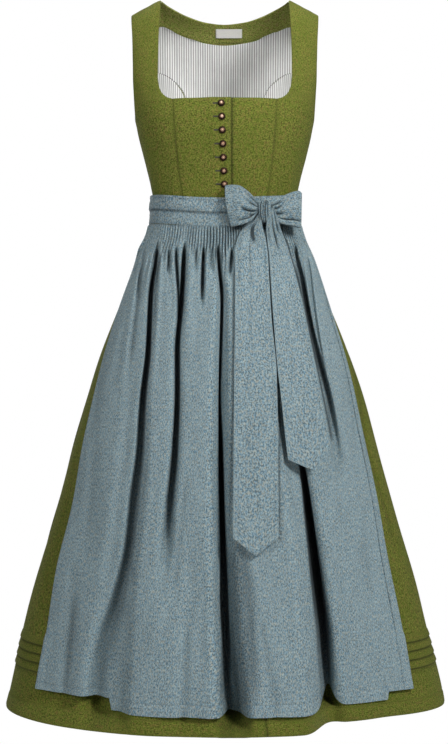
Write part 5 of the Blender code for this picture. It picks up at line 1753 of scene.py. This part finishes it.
@dataclass
class Apron:
    """Linen apron, finely gathered under its band, with a plain turned hem."""

    cloth: float = 1.0
    hem_down: float = 1251.5
    band_top: float = 349.0
    band_bottom: float = 401.5
    gathers: int = 74
    columns_each: int = 6
    gather_depth: float = 4.2
    gathers_fine: int = 34
    width: float = 900.0
    flat: tuple[float, float] = (1000.0, 872.0)
    hem_turned: float = 20.0
    stand_top: float = 3.0
    stand_hem: float = 4.0
    hem_from: float = 1204.9
    band_cloth: float = 1.5
    band_stand: float = 3.0

    def lift(self, across: Array) -> Array:
        """How much the hem rises over the right valley and beside the left step."""
        return (30.0 * hump(across - 181.0, 15.0) + 19.0 * rising(-across, 192.0, 5.0)
                + 14.0 * rising(across, 285.0, 5.0))

    def gathered(self, u: Array, level: Array) -> tuple[Array, Array]:
        """How far the gathers stand out, and the painted shade between them and under the band.

        Args:
            u: Share across the apron.
            level: Distance down.
        Returns:
            The stand in millimetres, and the painted shade from 0 to 1.
        """
        jitter = 1.3 * smoothed(6, 7.0, 91)(u) + 0.4 * np.sin(level / 9.0 + 31.0 * u)
        wave = np.abs(np.sin(math.pi * self.gathers * u + jitter / 2)) ** 0.9
        strong = Curve((0, 0.12, 0.3, 0.42, 0.62, 0.8, 1), (0.75, 0.7, 0.85, 1.15, 1.15, 0.95, 0.85))(u)
        strong = strong * (1 + 0.25 * smoothed(5, 13.0, 92)(u))
        ends = 434.0 + 14.0 * smoothed(6, 9.0, 93)(u) + 5.0 * np.sin(math.pi * self.gathers * u / 1.5)
        fade = ease((level - self.band_bottom) / 7.0 + 0.15) * falling(level, ends, 26.0)
        total = self.gather_depth * strong * (wave - 0.35) * fade
        # Painted shade between the gathers, beside the fine creases and under the band.
        painted_shade_and_patina = np.clip(strong, 0.0, 1.1) * 0.85 * (1 - wave) ** 1.1 * fade
        dice = np.random.default_rng(94)
        for k in range(self.gathers_fine):
            middle = (k + 0.5 + dice.uniform(-0.33, 0.33)) / self.gathers_fine
            half, depth, run, lean = (dice.uniform(*limits) for limits in (
                (0.0035, 0.0075), (0.8, 2.6), (45.0, 190.0), (-0.012, 0.012)))
            offset = u - middle - lean * (level - 440.0) / 200.0
            fade = rising(level, 424.0, 26.0) * falling(level, 450.0, run)
            total = total + depth * hump(offset, half) * fade
            painted_shade_and_patina = painted_shade_and_patina + 0.14 * depth * hump(offset - 1.6 * half, 0.5 * half) * fade
        return total, np.clip(painted_shade_and_patina + 0.4 * falling(level, 402.0, 5.0), 0.0, 1.0)

    @staticmethod
    def beside(across: Array, down: Array) -> Array:
        """Painted shadow of the hanging ends of the tie on the cloth along their edges."""
        shade = np.zeros_like(across)
        for table in (Bow.long_table, Bow.short_table):
            downs, *edges = np.array(table).T
            within = rising(down, downs[0], 20.0) * falling(down, downs[-1], 6.0)
            for edge, depth, half in zip(edges, (0.60, 0.85), (1.3, 2.0)):
                shade = np.maximum(shade, within * depth * hump(across - Curve(downs, edge)(down), half))
        return shade

    def panel(self, shop: Atelier) -> None:
        """The gathered panel."""
        down = np.concatenate([np.linspace(401.9, 470.0, 20), np.linspace(474.5, 610.0, 26),
                               np.linspace(620.5, self.hem_from, 50), np.linspace(1213.0, 1228.0, 3),
                               self.hem_down - np.array([21.2, 20.0, 18.8, 12, 6, 2.6, 1.0, 0.0])])
        even = np.linspace(0.0, 1.0, self.gathers * self.columns_each + 1)
        edges = zip(APRON_EDGE(down), down)
        angle = np.array([SKIRT.even(-edge, edge, even, level) for edge, level in edges])
        shares = np.array([crowded(row, level) for row, level in zip(angle, down)])
        angle = np.array([np.interp(share, even, row) for share, row in zip(shares, angle)])
        foot = SKIRT.round(angle[-1], self.hem_down)[:, 0]
        short = 1 - self.lift(foot) / (self.hem_down - self.hem_from)
        nominal = np.broadcast_to(down[:, None], shares.shape)
        level = np.where(nominal > self.hem_from, self.hem_from + (nominal - self.hem_from) * short, nominal)
        across = SKIRT.round(angle, level)[..., 0]
        stand = self.stand_top + (self.stand_hem - self.stand_top) * rising(level, GATHERS_END, 260.0)
        gathers, painted_shade_and_patina = self.gathered(shares, level)
        out = stand + self.cloth + gathers
        out = out + unevenness(level, 0.5, 1.5) * smoothed(9, 4.0, 95)(across / 400.0, level / 700.0)
        below = nominal - (self.hem_down - self.hem_turned)
        out = out + 0.5 * ease(below / 1.5) - 0.55 * hump(below, 0.8)
        edge = np.minimum(shares, 1 - shares) * self.width
        out = out + 0.15 * falling(edge, 8.0, 1.5) - 0.10 * hump(edge - 9.0, 0.9) - rolled(edge, 0.6)
        over_tucks = rising(level, 1136.0, 10.0) * falling(level, 1238.0, 12.0)
        out = out + 2.8 * falling(edge, 4.0, 24.0) * over_tucks
        face = laid_back(SKIRT.place(angle, level, out), across, level)
        # Painted shade between the gathers and in the folds of the front, and painted shadow beside the
        # hanging ends of the tie.
        lit = (1 - painted_shade_and_patina) * (1 - front_painted_shade(across, level)) * (1 - self.beside(across, level))
        panel = Panel("apron", face, self.cloth, shop.linen, self.flat, painted_shade_and_patina=1 - lit,
                      lay=np.stack([shares * self.flat[0], nominal - down[0]], axis=-1))
        normals, _ = outwards(face)
        column, sides = int(np.argmin(np.abs(even * self.width - 9.0))), slice(6, -6)
        seams = [Seam(f"stitching_apron_{name}", face[line] + normals[line] * 0.1, normals[line],
                      shop.linen_thread, 3.6, 2.3, 0.42)
                 for name, line in (("hem", len(down) - 7), ("right", (sides, column)),
                                    ("left", (sides, -1 - column)))]
        shop.cloth(panel, Cloth.LINEN, "gathered", ["apron_band_front"], "apron_panel", seams=seams,
                   area=0.88)

    def band(self, shop: Atelier) -> None:
        """The band over the gathers, stitched along both edges."""
        edge = float(APRON_EDGE(402.0))
        strip = Strip("apron_band_front", -edge, edge, self.band_top, self.band_bottom, self.band_stand,
                      self.band_cloth, 0.25, 101, (355.0, 53.0), 376.4)
        panel = strip.panel(shop)
        shop.cloth(panel, Cloth.LINEN, "stretched", ["centre_front_right", "centre_front_left"], "apron_band",
                   seams=strip.seams("stitching_band", panel.face, panel.face * LEVEL, 0.2, shop.linen_thread,
                                     3.2, 2.1, 0.4))

    def build(self, shop: Atelier) -> None:
        """Make the apron and its band."""
        self.panel(shop)
        self.band(shop)


# ---------------------------------------------------------------- ties and bow

@dataclass(frozen=True)
class Span:
    """A station of a bow loop: how far out and up its two edges are, and how far it puffs."""

    out_top: float
    up_top: float
    out_bottom: float
    up_bottom: float
    puff: float


@dataclass
class Loop:
    """One loop of the bow: a front layer, a round outer end and a back layer.

    The creases run out from the knot: their places across are shares of the ribbon's width from
    its upper edge, and their heights are distances out from the middle of the knot.
    """

    name: str
    node: str
    hand: int
    spans: tuple[Span, ...]
    end: Span
    creases: tuple[Crease, ...]
    flat: tuple[float, float]


@dataclass
class Bow:
    """Tie round the waist, knotted in a bow on the wearer's left, its two ends hanging down."""

    cloth: float = 1.2
    skin: float = 4.9
    tie_top: float = 349.5
    tie_bottom: float = 375.0
    back_bottom: float = 388.0
    knot_x: float = 70.7
    knot_z: float = -386.0
    knot_half: float = 11.5
    knot_top: float = 19.0
    knot_bottom: float = -20.5
    knot_depth: float = 19.0
    reach: float = 28.0
    stand: float = 8.2
    loop_width: float = 60.0
    end_width: float = 72.0
    loops: tuple[Loop, ...] = (
        Loop("bow_loop_viewers_left", "bow_loop_right", -1,
             each(Span, (12.3, 13.5, 12.3, -2, 3), (21.6, 25.5, 20, -13.5, 6), (33.8, 36, 30.2, -21.8, 8),
                  (47.9, 43.4, 44.2, -26.6, 8.5), (61, 44.4, 54, -28.4, 6.5)),
             Span(70, 43, 59.5, -28.3, 0),
             each(Crease, (0.76, 10, 0.555, 47, 3.4, 0.042), (0.92, 10, 0.73, 34, 3, 0.045),
                  (0.87, 16, 0.88, 56, 2.4, 0.03), (0.48, 9, 0.34, 34, 2.2, 0.045),
                  (0.2, 9, 0.13, 40, 1.6, 0.05), (0.66, 11, 0.47, 46, -1.6, 0.06),
                  (0.84, 12, 0.64, 42, -1.8, 0.045), (0.34, 10, 0.22, 40, -1.2, 0.06)),
             (70.0, 118.0)),
        Loop("bow_loop_viewers_right", "bow_loop_left", 1,
             each(Span, (12.3, 11.5, 12.3, -5.5, 3), (22.9, 20.4, 23.5, -18, 6), (38, 29.5, 36, -23, 8),
                  (52, 34.8, 51, -25.5, 8.5), (61, 37, 61, -28, 6)),
             Span(66.5, 33, 65.5, -28, 0),
             each(Crease, (0.16, 9, 0.2, 36, 1.8, 0.05), (0.46, 9, 0.34, 34, 2.4, 0.045),
                  (0.68, 9, 0.62, 38, 2.6, 0.045), (0.84, 26, 0.82, 74, 2.6, 0.035),
                  (0.32, 10, 0.28, 40, -1.4, 0.06), (0.57, 10, 0.5, 42, -1.6, 0.06)),
             (62.0, 116.0)),
    )
    long_table: tuple[tuple[float, float, float], ...] = (
        (394, 58.5, 66), (406.9, 49, 65.5), (416, 35, 67), (432, 24, 71.6), (462, 17.5, 76),
        (505, 17.8, 78), (580, 17.5, 82), (675, 16, 90), (785, 15, 91.3), (953, 13.6, 91.5))
    long_creases: tuple[Crease, ...] = each(
        Crease,
        (0.42, 392, 0.62, 452, 2.6, 0.055), (0.26, 400, 0.58, 440, 2.2, 0.045),
        (0.14, 396, 0.28, 520, -1.9, 0.09), (0.76, 392, 0.8, 560, -1.9, 0.09),
        (0.46, 420, 0.4, 700, 1.3, 0.08), (0.9, 430, 0.86, 560, 1.2, 0.045),
        (0.16, 470, 0.14, 760, -0.8, 0.09), (0.3, 640, 0.34, 900, 0.9, 0.1),
        (0.68, 700, 0.6, 930, -0.9, 0.12))
    short_table: tuple[tuple[float, float, float], ...] = (
        (381, 79, 87.5), (392, 77, 91.5), (406.9, 74.5, 96), (418, 73.5, 99.5), (436, 75, 107),
        (462, 78, 115.5), (505, 80.5, 127), (580, 85, 143), (675, 92.5, 162), (787, 108.5, 184))
    short_creases: tuple[Crease, ...] = each(
        Crease,
        (0.78, 384, 0.76, 432, 2.4, 0.055), (0.44, 382, 0.5, 470, 2.2, 0.055),
        (0.62, 382, 0.64, 540, -1.9, 0.08), (0.2, 392, 0.26, 500, -1.6, 0.08),
        (0.74, 470, 0.7, 640, 1.2, 0.07), (0.42, 520, 0.4, 740, 1, 0.09), (0.84, 560, 0.8, 760, -0.9, 0.08))

    def tie_face(self, across: Numbers, down: Numbers) -> Array:
        """How far forward the outer face of the tie is."""
        return SKIRT.place(SKIRT.angle_at(across, down), down, self.skin + self.cloth, SKIRT.round)[..., 1]

    def ties(self, shop: Atelier, apron: Apron) -> None:
        """The tie round the back, and its two ends brought to the front over the band."""
        edge = float(APRON_EDGE(402.0))
        knot = float(SKIRT.angle_at(self.knot_x, -self.knot_z))
        front = (self.tie_top, self.tie_bottom, self.skin, self.cloth, 0.75)
        for node, strip in (
                ("tie_round_back", Strip("tie_back", edge, 360.0 - edge, apron.band_top, self.back_bottom,
                                         apron.band_stand, apron.band_cloth, 0.55, 111, (404.0, 40.0))),
                ("tie_over_right", Strip("tie_front_right", -180.0, knot, *front, 113, (405.0, 27.0),
                                         bunched=(0.93, 1.0))),
                ("tie_over_left", Strip("tie_front_left", knot, 180.0, *front, 115, (316.0, 27.0),
                                        bunched=(0.12, 0.0)))):
            panel = strip.panel(shop)
            shop.cloth(panel, Cloth.LINEN, "stretched", ["apron_band_front"], node,
                       seams=strip.seams(f"stitching_{strip.name}", panel.face, unit(panel.face * LEVEL),
                                         0.15, shop.linen_thread, 3.4, 2.2, 0.38))

    def loop(self, shop: Atelier, loop: Loop) -> None:
        """One loop of the bow, as a ribbon that leaves the knot and comes back to it."""
        def station(span: Span, front: bool) -> list[float]:
            """A station's edges, and how far forward it is."""
            out = min(span.out_top, self.reach) if loop.hand > 0 else span.out_top
            back = float(self.tie_face(self.knot_x + loop.hand * out, -self.knot_z)) - 0.3 - 1.8
            return [span.out_top, span.up_top, span.out_bottom, span.up_bottom,
                    back - (2.0 * span.puff + 1.2 if front else 0.0)]

        ribbon = [station(span, True) for span in loop.spans]
        tip = [loop.end.out_top, loop.end.up_top, loop.end.out_bottom, loop.end.up_bottom]
        near, far = ribbon[-1][4], station(loop.spans[-1], False)[4]
        ribbon += [tip + [near * 0.8 + far * 0.2], tip + [near * 0.2 + far * 0.8]]
        ribbon += [station(span, False) for span in reversed(loop.spans)]
        table, stops = np.array(ribbon), np.arange(len(ribbon))
        at = np.linspace(0, len(ribbon) - 1, 111)
        out_top, up_top, out_bottom, up_bottom, forward = (Curve(stops, one)(at)[:, None] for one in table.T)
        share = edged(self.loop_width, 1.7, (0.5, 1.2, 2.2, 3.6))
        x = out_top + (out_bottom - out_top) * share
        z = up_top + (up_bottom - up_top) * share
        front = falling(at, 4.6, 1.4)[:, None]
        near_knot = falling(out_top, 12.0, 45.0)
        crease = 1.1 * np.cos(4 * math.pi * share) * near_knot
        bulge = 2.5 * np.sin(np.pi * share) * rising(out_top, 12.0, 20.0)
        laid = sum(one.set_back(share, x) for one in loop.creases)
        sway = 0.5 * smoothed(7, 2.5, 121 + loop.hand)(at[:, None] / 10.0, share)
        x = x + 3.6 * np.sin(np.pi * share) * rising(x, 42.0, 22.0) * (loop.hand < 0)
        y = forward - (crease + bulge) * front + laid * front + sway * rising(out_top, 14.0, 10.0)
        upper, lower = share * self.loop_width, (1 - share) * self.loop_width
        hem = 0.3 * hump(upper - 4.0, 0.9) + 0.3 * hump(lower - 4.0, 0.9)
        y = y + hem * front + (rolled(upper, 0.5) + rolled(lower, 0.5)) * front
        middle = np.stack([self.knot_x + loop.hand * x, y, self.knot_z + z], axis=-1)
        panel = self.ribbon(loop.name, middle, shop, loop.flat)
        # Painted shade: the whole loop a little darker, darker still in its creases and next to the knot.
        panel.painted_shade_and_patina = 0.22 + front * 0.78 * np.maximum(0.9 * rising(laid, 1.2, 3.2),
                                                        0.7 * falling(x, 11.0, 4.5))
        seams = [forward_seam(f"stitching_{loop.name}_{name}", panel.face[2:58, column],
                              shop.linen_thread, 3.2, 2.1, 0.38)
                 for name, column in (("upper", 4), ("lower", -5))]
        shop.cloth(panel, Cloth.LINEN, "folded", ["bow_knot_wrapped"], loop.node, seams=seams)

    def ribbon(self, name: str, middle: Array, shop: Atelier, flat: tuple[float, float]) -> Panel:
        """Tie cloth about a grid of middle points whose first rows look forward."""
        outward = (np.arange(len(middle)) < len(middle) // 3)[:, None, None] * FORWARD
        face = middle + outwards(middle, outward)[0] * self.cloth / 2
        run = np.linalg.norm(np.diff(middle, axis=0), axis=2).mean(axis=1)
        lengthwise = np.concatenate([[0.0], np.cumsum(run)])
        lay = np.stack(np.meshgrid(np.linspace(0, flat[0], middle.shape[1]), lengthwise), axis=-1)
        return Panel(name, face, self.cloth, shop.linen, flat, outward=outward, lay=lay)

    def knot(self, shop: Atelier) -> None:
        """The knot: the tie wrapped once round the bow, pulled into folds."""
        back = float(self.tie_face(self.knot_x, -self.knot_z)) - 0.7
        rise, wide, deep = (Curve(np.arange(7), values)(np.linspace(0, 6, 37))[:, None] for values in (
            (self.knot_top, self.knot_top * 0.86, self.knot_top * 0.62, 4.0, self.knot_bottom * 0.45,
             self.knot_bottom * 0.8, self.knot_bottom),
            (0.52, 0.84, 1.0, 1.0, 0.90, 0.72, 0.42), (0.25, 0.66, 0.92, 1.0, 0.95, 0.72, 0.30)))
        turn = np.linspace(0, math.tau, 73)[None, :-1] + math.pi
        x = self.knot_half * wide * power(np.sin(turn), 0.8)
        face = np.maximum(0.0, np.cos(turn))
        half = self.knot_depth / 2
        v = (rise - self.knot_bottom) / (self.knot_top - self.knot_bottom)
        lean = x / (self.knot_half * np.maximum(wide, 0.3)) + 0.16 * np.sin(3.0 * v)
        folds = sum(depth * hump(lean - place - bend * (v - 0.5), width) for place, bend, depth, width in (
            (-0.56, 0.1, 3.2, 0.1), (-0.16, 0.22, 2.4, 0.08), (0.22, 0.1, 3.6, 0.11),
            (0.62, -0.12, 2.8, 0.1)))
        y = back - half - half * deep * power(np.cos(turn), 0.8) + folds * face ** 0.5
        # Painted shade: the whole knot a little darker, darker still in its folds.
        painted_shade_and_patina = 0.20 + 0.75 * rising(folds, 0.9, 2.2) * face ** 0.3
        points = np.stack(np.broadcast_arrays(self.knot_x + x, np.minimum(y, back), self.knot_z + rise),
                          axis=-1)
        rows, columns = points.shape[:2]
        top = rows * columns
        index = np.arange(top).reshape(rows, columns)
        ring = np.concatenate([index, index[:, :1]], axis=1)
        faces = quads(ring, True).tolist()
        for k in range(columns):
            faces += [(*ring[0, k:k + 2].tolist(), top), (*ring[-1, k:k + 2][::-1].tolist(), top + 1)]
        around, length = 66.0, 62.0
        lay = np.stack(np.broadcast_arrays(np.linspace(0, around, columns), v * length), axis=-1)
        lay = np.concatenate([lay.reshape(-1, 2), [[around / 2, length], [around / 2, 0.0]]])
        painted_shade_and_patina = np.append(np.broadcast_to(painted_shade_and_patina, (rows, columns)).ravel(), [0.0, 0.0])
        points = np.concatenate([points.reshape(-1, 3), points[[0, -1]].mean(axis=1)])
        thing = mesh_object("bow_knot_wrapped", points, faces, [shop.linen], lay, None, painted_shade_and_patina)
        bpy.ops.object.select_all(action="DESELECT")
        thing.select_set(True)
        bpy.context.view_layer.objects.active = thing
        with editing():
            bpy.ops.mesh.normals_make_consistent(inside=False)
        shop.enter(thing, Cloth.LINEN, "bow_knot")

    def end(self, shop: Atelier, name: str, node: str, table: tuple[tuple[float, float, float], ...],
            creases: tuple[Crease, ...], drop: Callable[[Array], Array], back: float,
            flat: tuple[float, float], over: float) -> None:
        """A hanging end of the tie.

        Args:
            name: The piece's name.
            node: The node that it stands for.
            table: Rows of distance down, left edge and right edge.
            creases: Its creases; their places across are shares of its width.
            drop: How far it reaches below its last row, at each share across.
            back: How far its right edge lies back at the bottom.
            flat: The size that it was cut to.
            over: How far its top stands forward, over the loop beside it.
        """
        downs, *edges = np.array(table).T
        nominal = np.concatenate([np.linspace(downs[0], 470.0, 36), np.linspace(474.0, downs[-1] - 24.0, 64),
                                  downs[-1] - np.array([18.0, 12.0, 8.0, 5.0, 3.0, 1.6, 0.7, 0.0])])[:, None]
        share = edged(self.end_width, 2.0, (0.5, 1.2, 2.2, 3.8, 6.4, 7.2))
        left, right = (Curve(downs, edge)(nominal) for edge in edges)
        across = left + (right - left) * share
        down = nominal + drop(share) * ease((nominal - downs[-1] + 90.0) / 90.0)
        fade = falling(nominal, 400.0, 170.0)
        plain = SKIRT.place(SKIRT.angle_at(across, down), down, self.stand, SKIRT.round)[..., 1]
        fold = 1.6 * np.abs(np.sin(3 * math.pi * share)) * fade
        laid = sum(one.set_back(share, nominal) for one in creases)
        sway = 0.6 * smoothed(7, 2.5, 131 + len(name))(share, nominal / 300.0)
        lifted = np.maximum(0.0, fold - laid + sway + 0.9)
        inset = np.minimum(share, 1 - share) * self.end_width
        hem = 0.35 * falling(inset, 6.2, 0.9) - 0.3 * hump(inset - 6.9, 0.7)
        hem = hem + 0.3 * (1 - ease(downs[-1] - nominal - 6.0))
        y = plain + back * share * rising(nominal, 560.0, 227.0) - lifted - hem
        y = y - over * falling(nominal, 408.0, 38.0)
        panel = self.ribbon(name, np.stack([across, y, -down], axis=-1), shop, flat)
        # Painted shade: the whole end a little darker, more at its top, and darker in its creases, most near
        # the knot.
        shade = (0.80 - 0.6 * rising(nominal, 440.0, 60.0)) * rising(laid, 0.6, 2.6)
        panel.painted_shade_and_patina = 0.05 + 0.12 * falling(nominal, 400.0, 90.0) + shade
        sides = slice(4, -4)
        seams = [forward_seam(f"stitching_{name}_{side}", panel.face[line], shop.linen_thread,
                              pitch, stitch, 0.38, lift=0.12) for side, line, pitch, stitch in (
            ("right", (sides, 5), 3.4, 2.2), ("left", (sides, -6), 3.4, 2.2),
            ("foot", (-4, slice(5, -5)), 3.2, 2.1))]
        shop.cloth(panel, Cloth.LINEN, "hung", ["bow_knot_wrapped", "apron"], node, seams=seams)

    def build(self, shop: Atelier, apron: Apron) -> None:
        """Make ties, knot, loops and ends."""
        self.ties(shop, apron)
        for loop in self.loops:
            self.loop(shop, loop)
        self.knot(shop)
        self.end(shop, "tie_end_long", "bow_end_long", self.long_table, self.long_creases,
                 lambda share: 31.0 * (1 - np.abs(2 * share - 1)), 0.0, (70.0, 590.0), 4.2)
        self.end(shop, "tie_end_short", "bow_end_short", self.short_table, self.short_creases,
                 lambda share: np.interp(share, (0.0, 0.62, 1.0), (36.0, 57.0, 12.0)),
                 12.0, (66.0, 452.0), 12.4)


# ---------------------------------------------------------------- buttons

@dataclass
class Buttons:
    """Seven domed buttons of old copper: a rope rim round a rosette."""

    width: float = 13.0
    height: float = 5.6
    face: float = 0.96
    petals: int = 8
    ropes: int = 36

    def relief(self, radius: float, turn: float) -> float:
        """Height of the pattern on the dome, 0 to 1, at a share of the radius and an angle."""
        boss = math.exp(-(radius / 0.25) ** 2)
        ray = 0.5 + 0.5 * math.cos(self.petals * turn)
        petal = math.exp(-((radius - 0.42) / 0.17) ** 2) * (0.15 + 0.85 * ray)
        strand = 0.55 + 0.45 * math.cos(self.ropes / 2 * turn + 14.0 * radius)
        rope = math.exp(-((radius - 0.83) / 0.085) ** 2) * strand
        return min(1.0, boss + 0.75 * petal + 0.55 * rope)

    def pattern(self, shop: Atelier) -> bpy.types.Object:
        """Model one button lying flat at the origin: a turned dome, its back hollowed, its face cast."""
        face = self.width / 2 * MM * self.face
        bpy.ops.object.select_all(action="DESELECT")
        bpy.ops.mesh.primitive_circle_add(vertices=48, radius=face, fill_type="TRIFAN")
        thing = bpy.context.object
        with editing():
            bpy.ops.mesh.subdivide(number_cuts=9)
        marks = []
        for vertex in thing.data.vertices:
            x, y = vertex.co.x, vertex.co.y
            radius = math.hypot(x, y) / face
            mark = self.relief(radius, math.atan2(y, x))
            dome = self.height * (0.30 + 0.70 * math.sqrt(max(0.0, 1 - (radius * 0.985) ** 2.2)))
            vertex.co.z = (dome - 0.55 + 0.55 * mark) * MM
            marks.append(mark)
        layer = thing.data.attributes.new("relief", "FLOAT", "POINT")
        layer.data.foreach_set("value", marks)
        with editing("DESELECT"):
            bpy.ops.mesh.select_mode(type="EDGE")
            bpy.ops.mesh.select_non_manifold()
            for scale, lift in ((1.04, -0.25), (1.0, -0.45), (0.84, -0.5), (0.30, 0.25), (0.26, -0.30)):
                bpy.ops.mesh.extrude_edges_move(TRANSFORM_OT_translate={"value": (0.0, 0.0, lift * MM)})
                bpy.ops.transform.resize(value=(scale, scale, 1.0), center_override=(0.0, 0.0, 0.0))
            bpy.ops.mesh.edge_face_add()
            bpy.ops.mesh.select_all(action="SELECT")
            bpy.ops.mesh.normals_make_consistent(inside=False)
        thing.data.materials.append(shop.copper)
        bpy.ops.object.shade_smooth_by_angle(angle=math.radians(60))
        low = min(vertex.co.z for vertex in thing.data.vertices)
        for vertex in thing.data.vertices:
            vertex.co.z -= low
        return thing

    def build(self, shop: Atelier, bodice: Bodice) -> None:
        """Cast the buttons and set them on the upper front."""
        pattern = self.pattern(shop)
        for number in range(len(bodice.button_downs)):
            seat, outward = bodice.button_place(number, bodice.overlap + 0.15)
            thing = bpy.data.objects.new(f"dome_button_{number + 1}", pattern.data.copy())
            bpy.context.scene.collection.objects.link(thing)
            lean = Vector(outward).to_track_quat("Z", "Y").to_matrix().to_4x4()
            turn = Matrix.Rotation(0.37 * number, 4, "Z")
            thing.data.transform(Matrix.Translation(Vector(seat) * MM) @ lean @ turn)
            shop.enter(thing, Cloth.COPPER, f"button_{number + 1}")
        bpy.data.objects.remove(pattern, do_unlink=True)


# ---------------------------------------------------------------- studio

@dataclass
class Room:
    """A pale floor, soft lights, a white world and the camera."""

    floor: float = -1.62
    distance: float = 2.8
    eye: float = -0.6725
    lens: float = 73.24
    ambient: float = 0.09

    def paper(self) -> None:
        """A pale floor."""
        bpy.ops.object.select_all(action="DESELECT")
        bpy.ops.mesh.primitive_plane_add(size=1.0, location=(0.0, -0.9, self.floor))
        floor = bpy.context.object
        floor.name = "studio_floor"
        with editing():
            bpy.ops.transform.resize(value=(4.4, 3.7, 1.0), center_override=(0.0, -0.9, self.floor))
            bpy.ops.mesh.subdivide(number_cuts=6)
        floor.data.materials.append(Studio().material())

    @staticmethod
    def light(name: str, place: tuple[float, float, float], aim: tuple[float, float, float],
              size: float, watts: float, spread: float = 180.0) -> None:
        """A square soft light.

        Args:
            name: Its name.
            place: Where it stands, in metres.
            aim: What it looks at.
            size: Its side.
            watts: Its power.
            spread: The angle of its beam, in degrees.
        """
        lamp = bpy.data.lights.new(name, "AREA")
        lamp.shape, lamp.size, lamp.energy = "SQUARE", size, watts
        lamp.spread = math.radians(spread)
        thing = bpy.data.objects.new(name, lamp)
        thing.location = place
        thing.rotation_mode = "QUATERNION"
        thing.rotation_quaternion = (Vector(aim) - Vector(place)).to_track_quat("-Z", "Y")
        bpy.context.scene.collection.objects.link(thing)

    def build(self) -> None:
        """Set up the room."""
        self.paper()
        self.light("key_light", (1.9, -2.3, 1.2), (0.0, 0.0, -0.6), 0.9, 96.0)
        self.light("fill_light", (-2.2, -2.4, 0.8), (0.0, 0.0, -0.7), 1.2, 34.0)
        self.light("neck_light", (-0.1, -1.3, 1.25), (0.0, 0.1, -0.02), 0.7, 1.25, 30.0)
        self.light("back_light", (-0.8, 2.8, 0.8), (0.0, 0.0, -0.7), 2.0, 60.0)
        world = bpy.data.worlds.new("studio_world")
        world.use_nodes = True
        tree = world.node_tree
        sky = tree.nodes["Background"]
        sky.inputs["Color"].default_value = (1.0, 1.0, 1.0, 1.0)
        path, strength = tree.nodes.new("ShaderNodeLightPath"), tree.nodes.new("ShaderNodeMapRange")
        strength.inputs["To Min"].default_value, strength.inputs["To Max"].default_value = self.ambient, 1.0
        tree.links.new(path.outputs["Is Camera Ray"], strength.inputs["Value"])
        tree.links.new(strength.outputs[0], sky.inputs["Strength"])
        bpy.context.scene.world = world
        bpy.context.scene.view_settings.view_transform = "Standard"
        lens = bpy.data.cameras.new("camera")
        lens.lens, lens.sensor_width = self.lens, 36.0
        camera = bpy.data.objects.new("camera", lens)
        camera.location = (-0.0015, -self.distance, self.eye)
        camera.rotation_euler = (math.pi / 2, 0.0, 0.0)
        bpy.context.scene.collection.objects.link(camera)
        bpy.context.scene.camera = camera


def main() -> None:
    """Build the dress and the room."""
    logging.basicConfig(level=logging.INFO, format="%(name)s: %(message)s")
    Room().build()
    shop = Atelier()
    bodice, apron = Bodice(), Apron()
    bodice.build(shop)
    Buttons().build(shop, bodice)
    Skirt().build(shop)
    apron.build(shop)
    Bow().build(shop, apron)


if __name__ == "__main__":
    main()
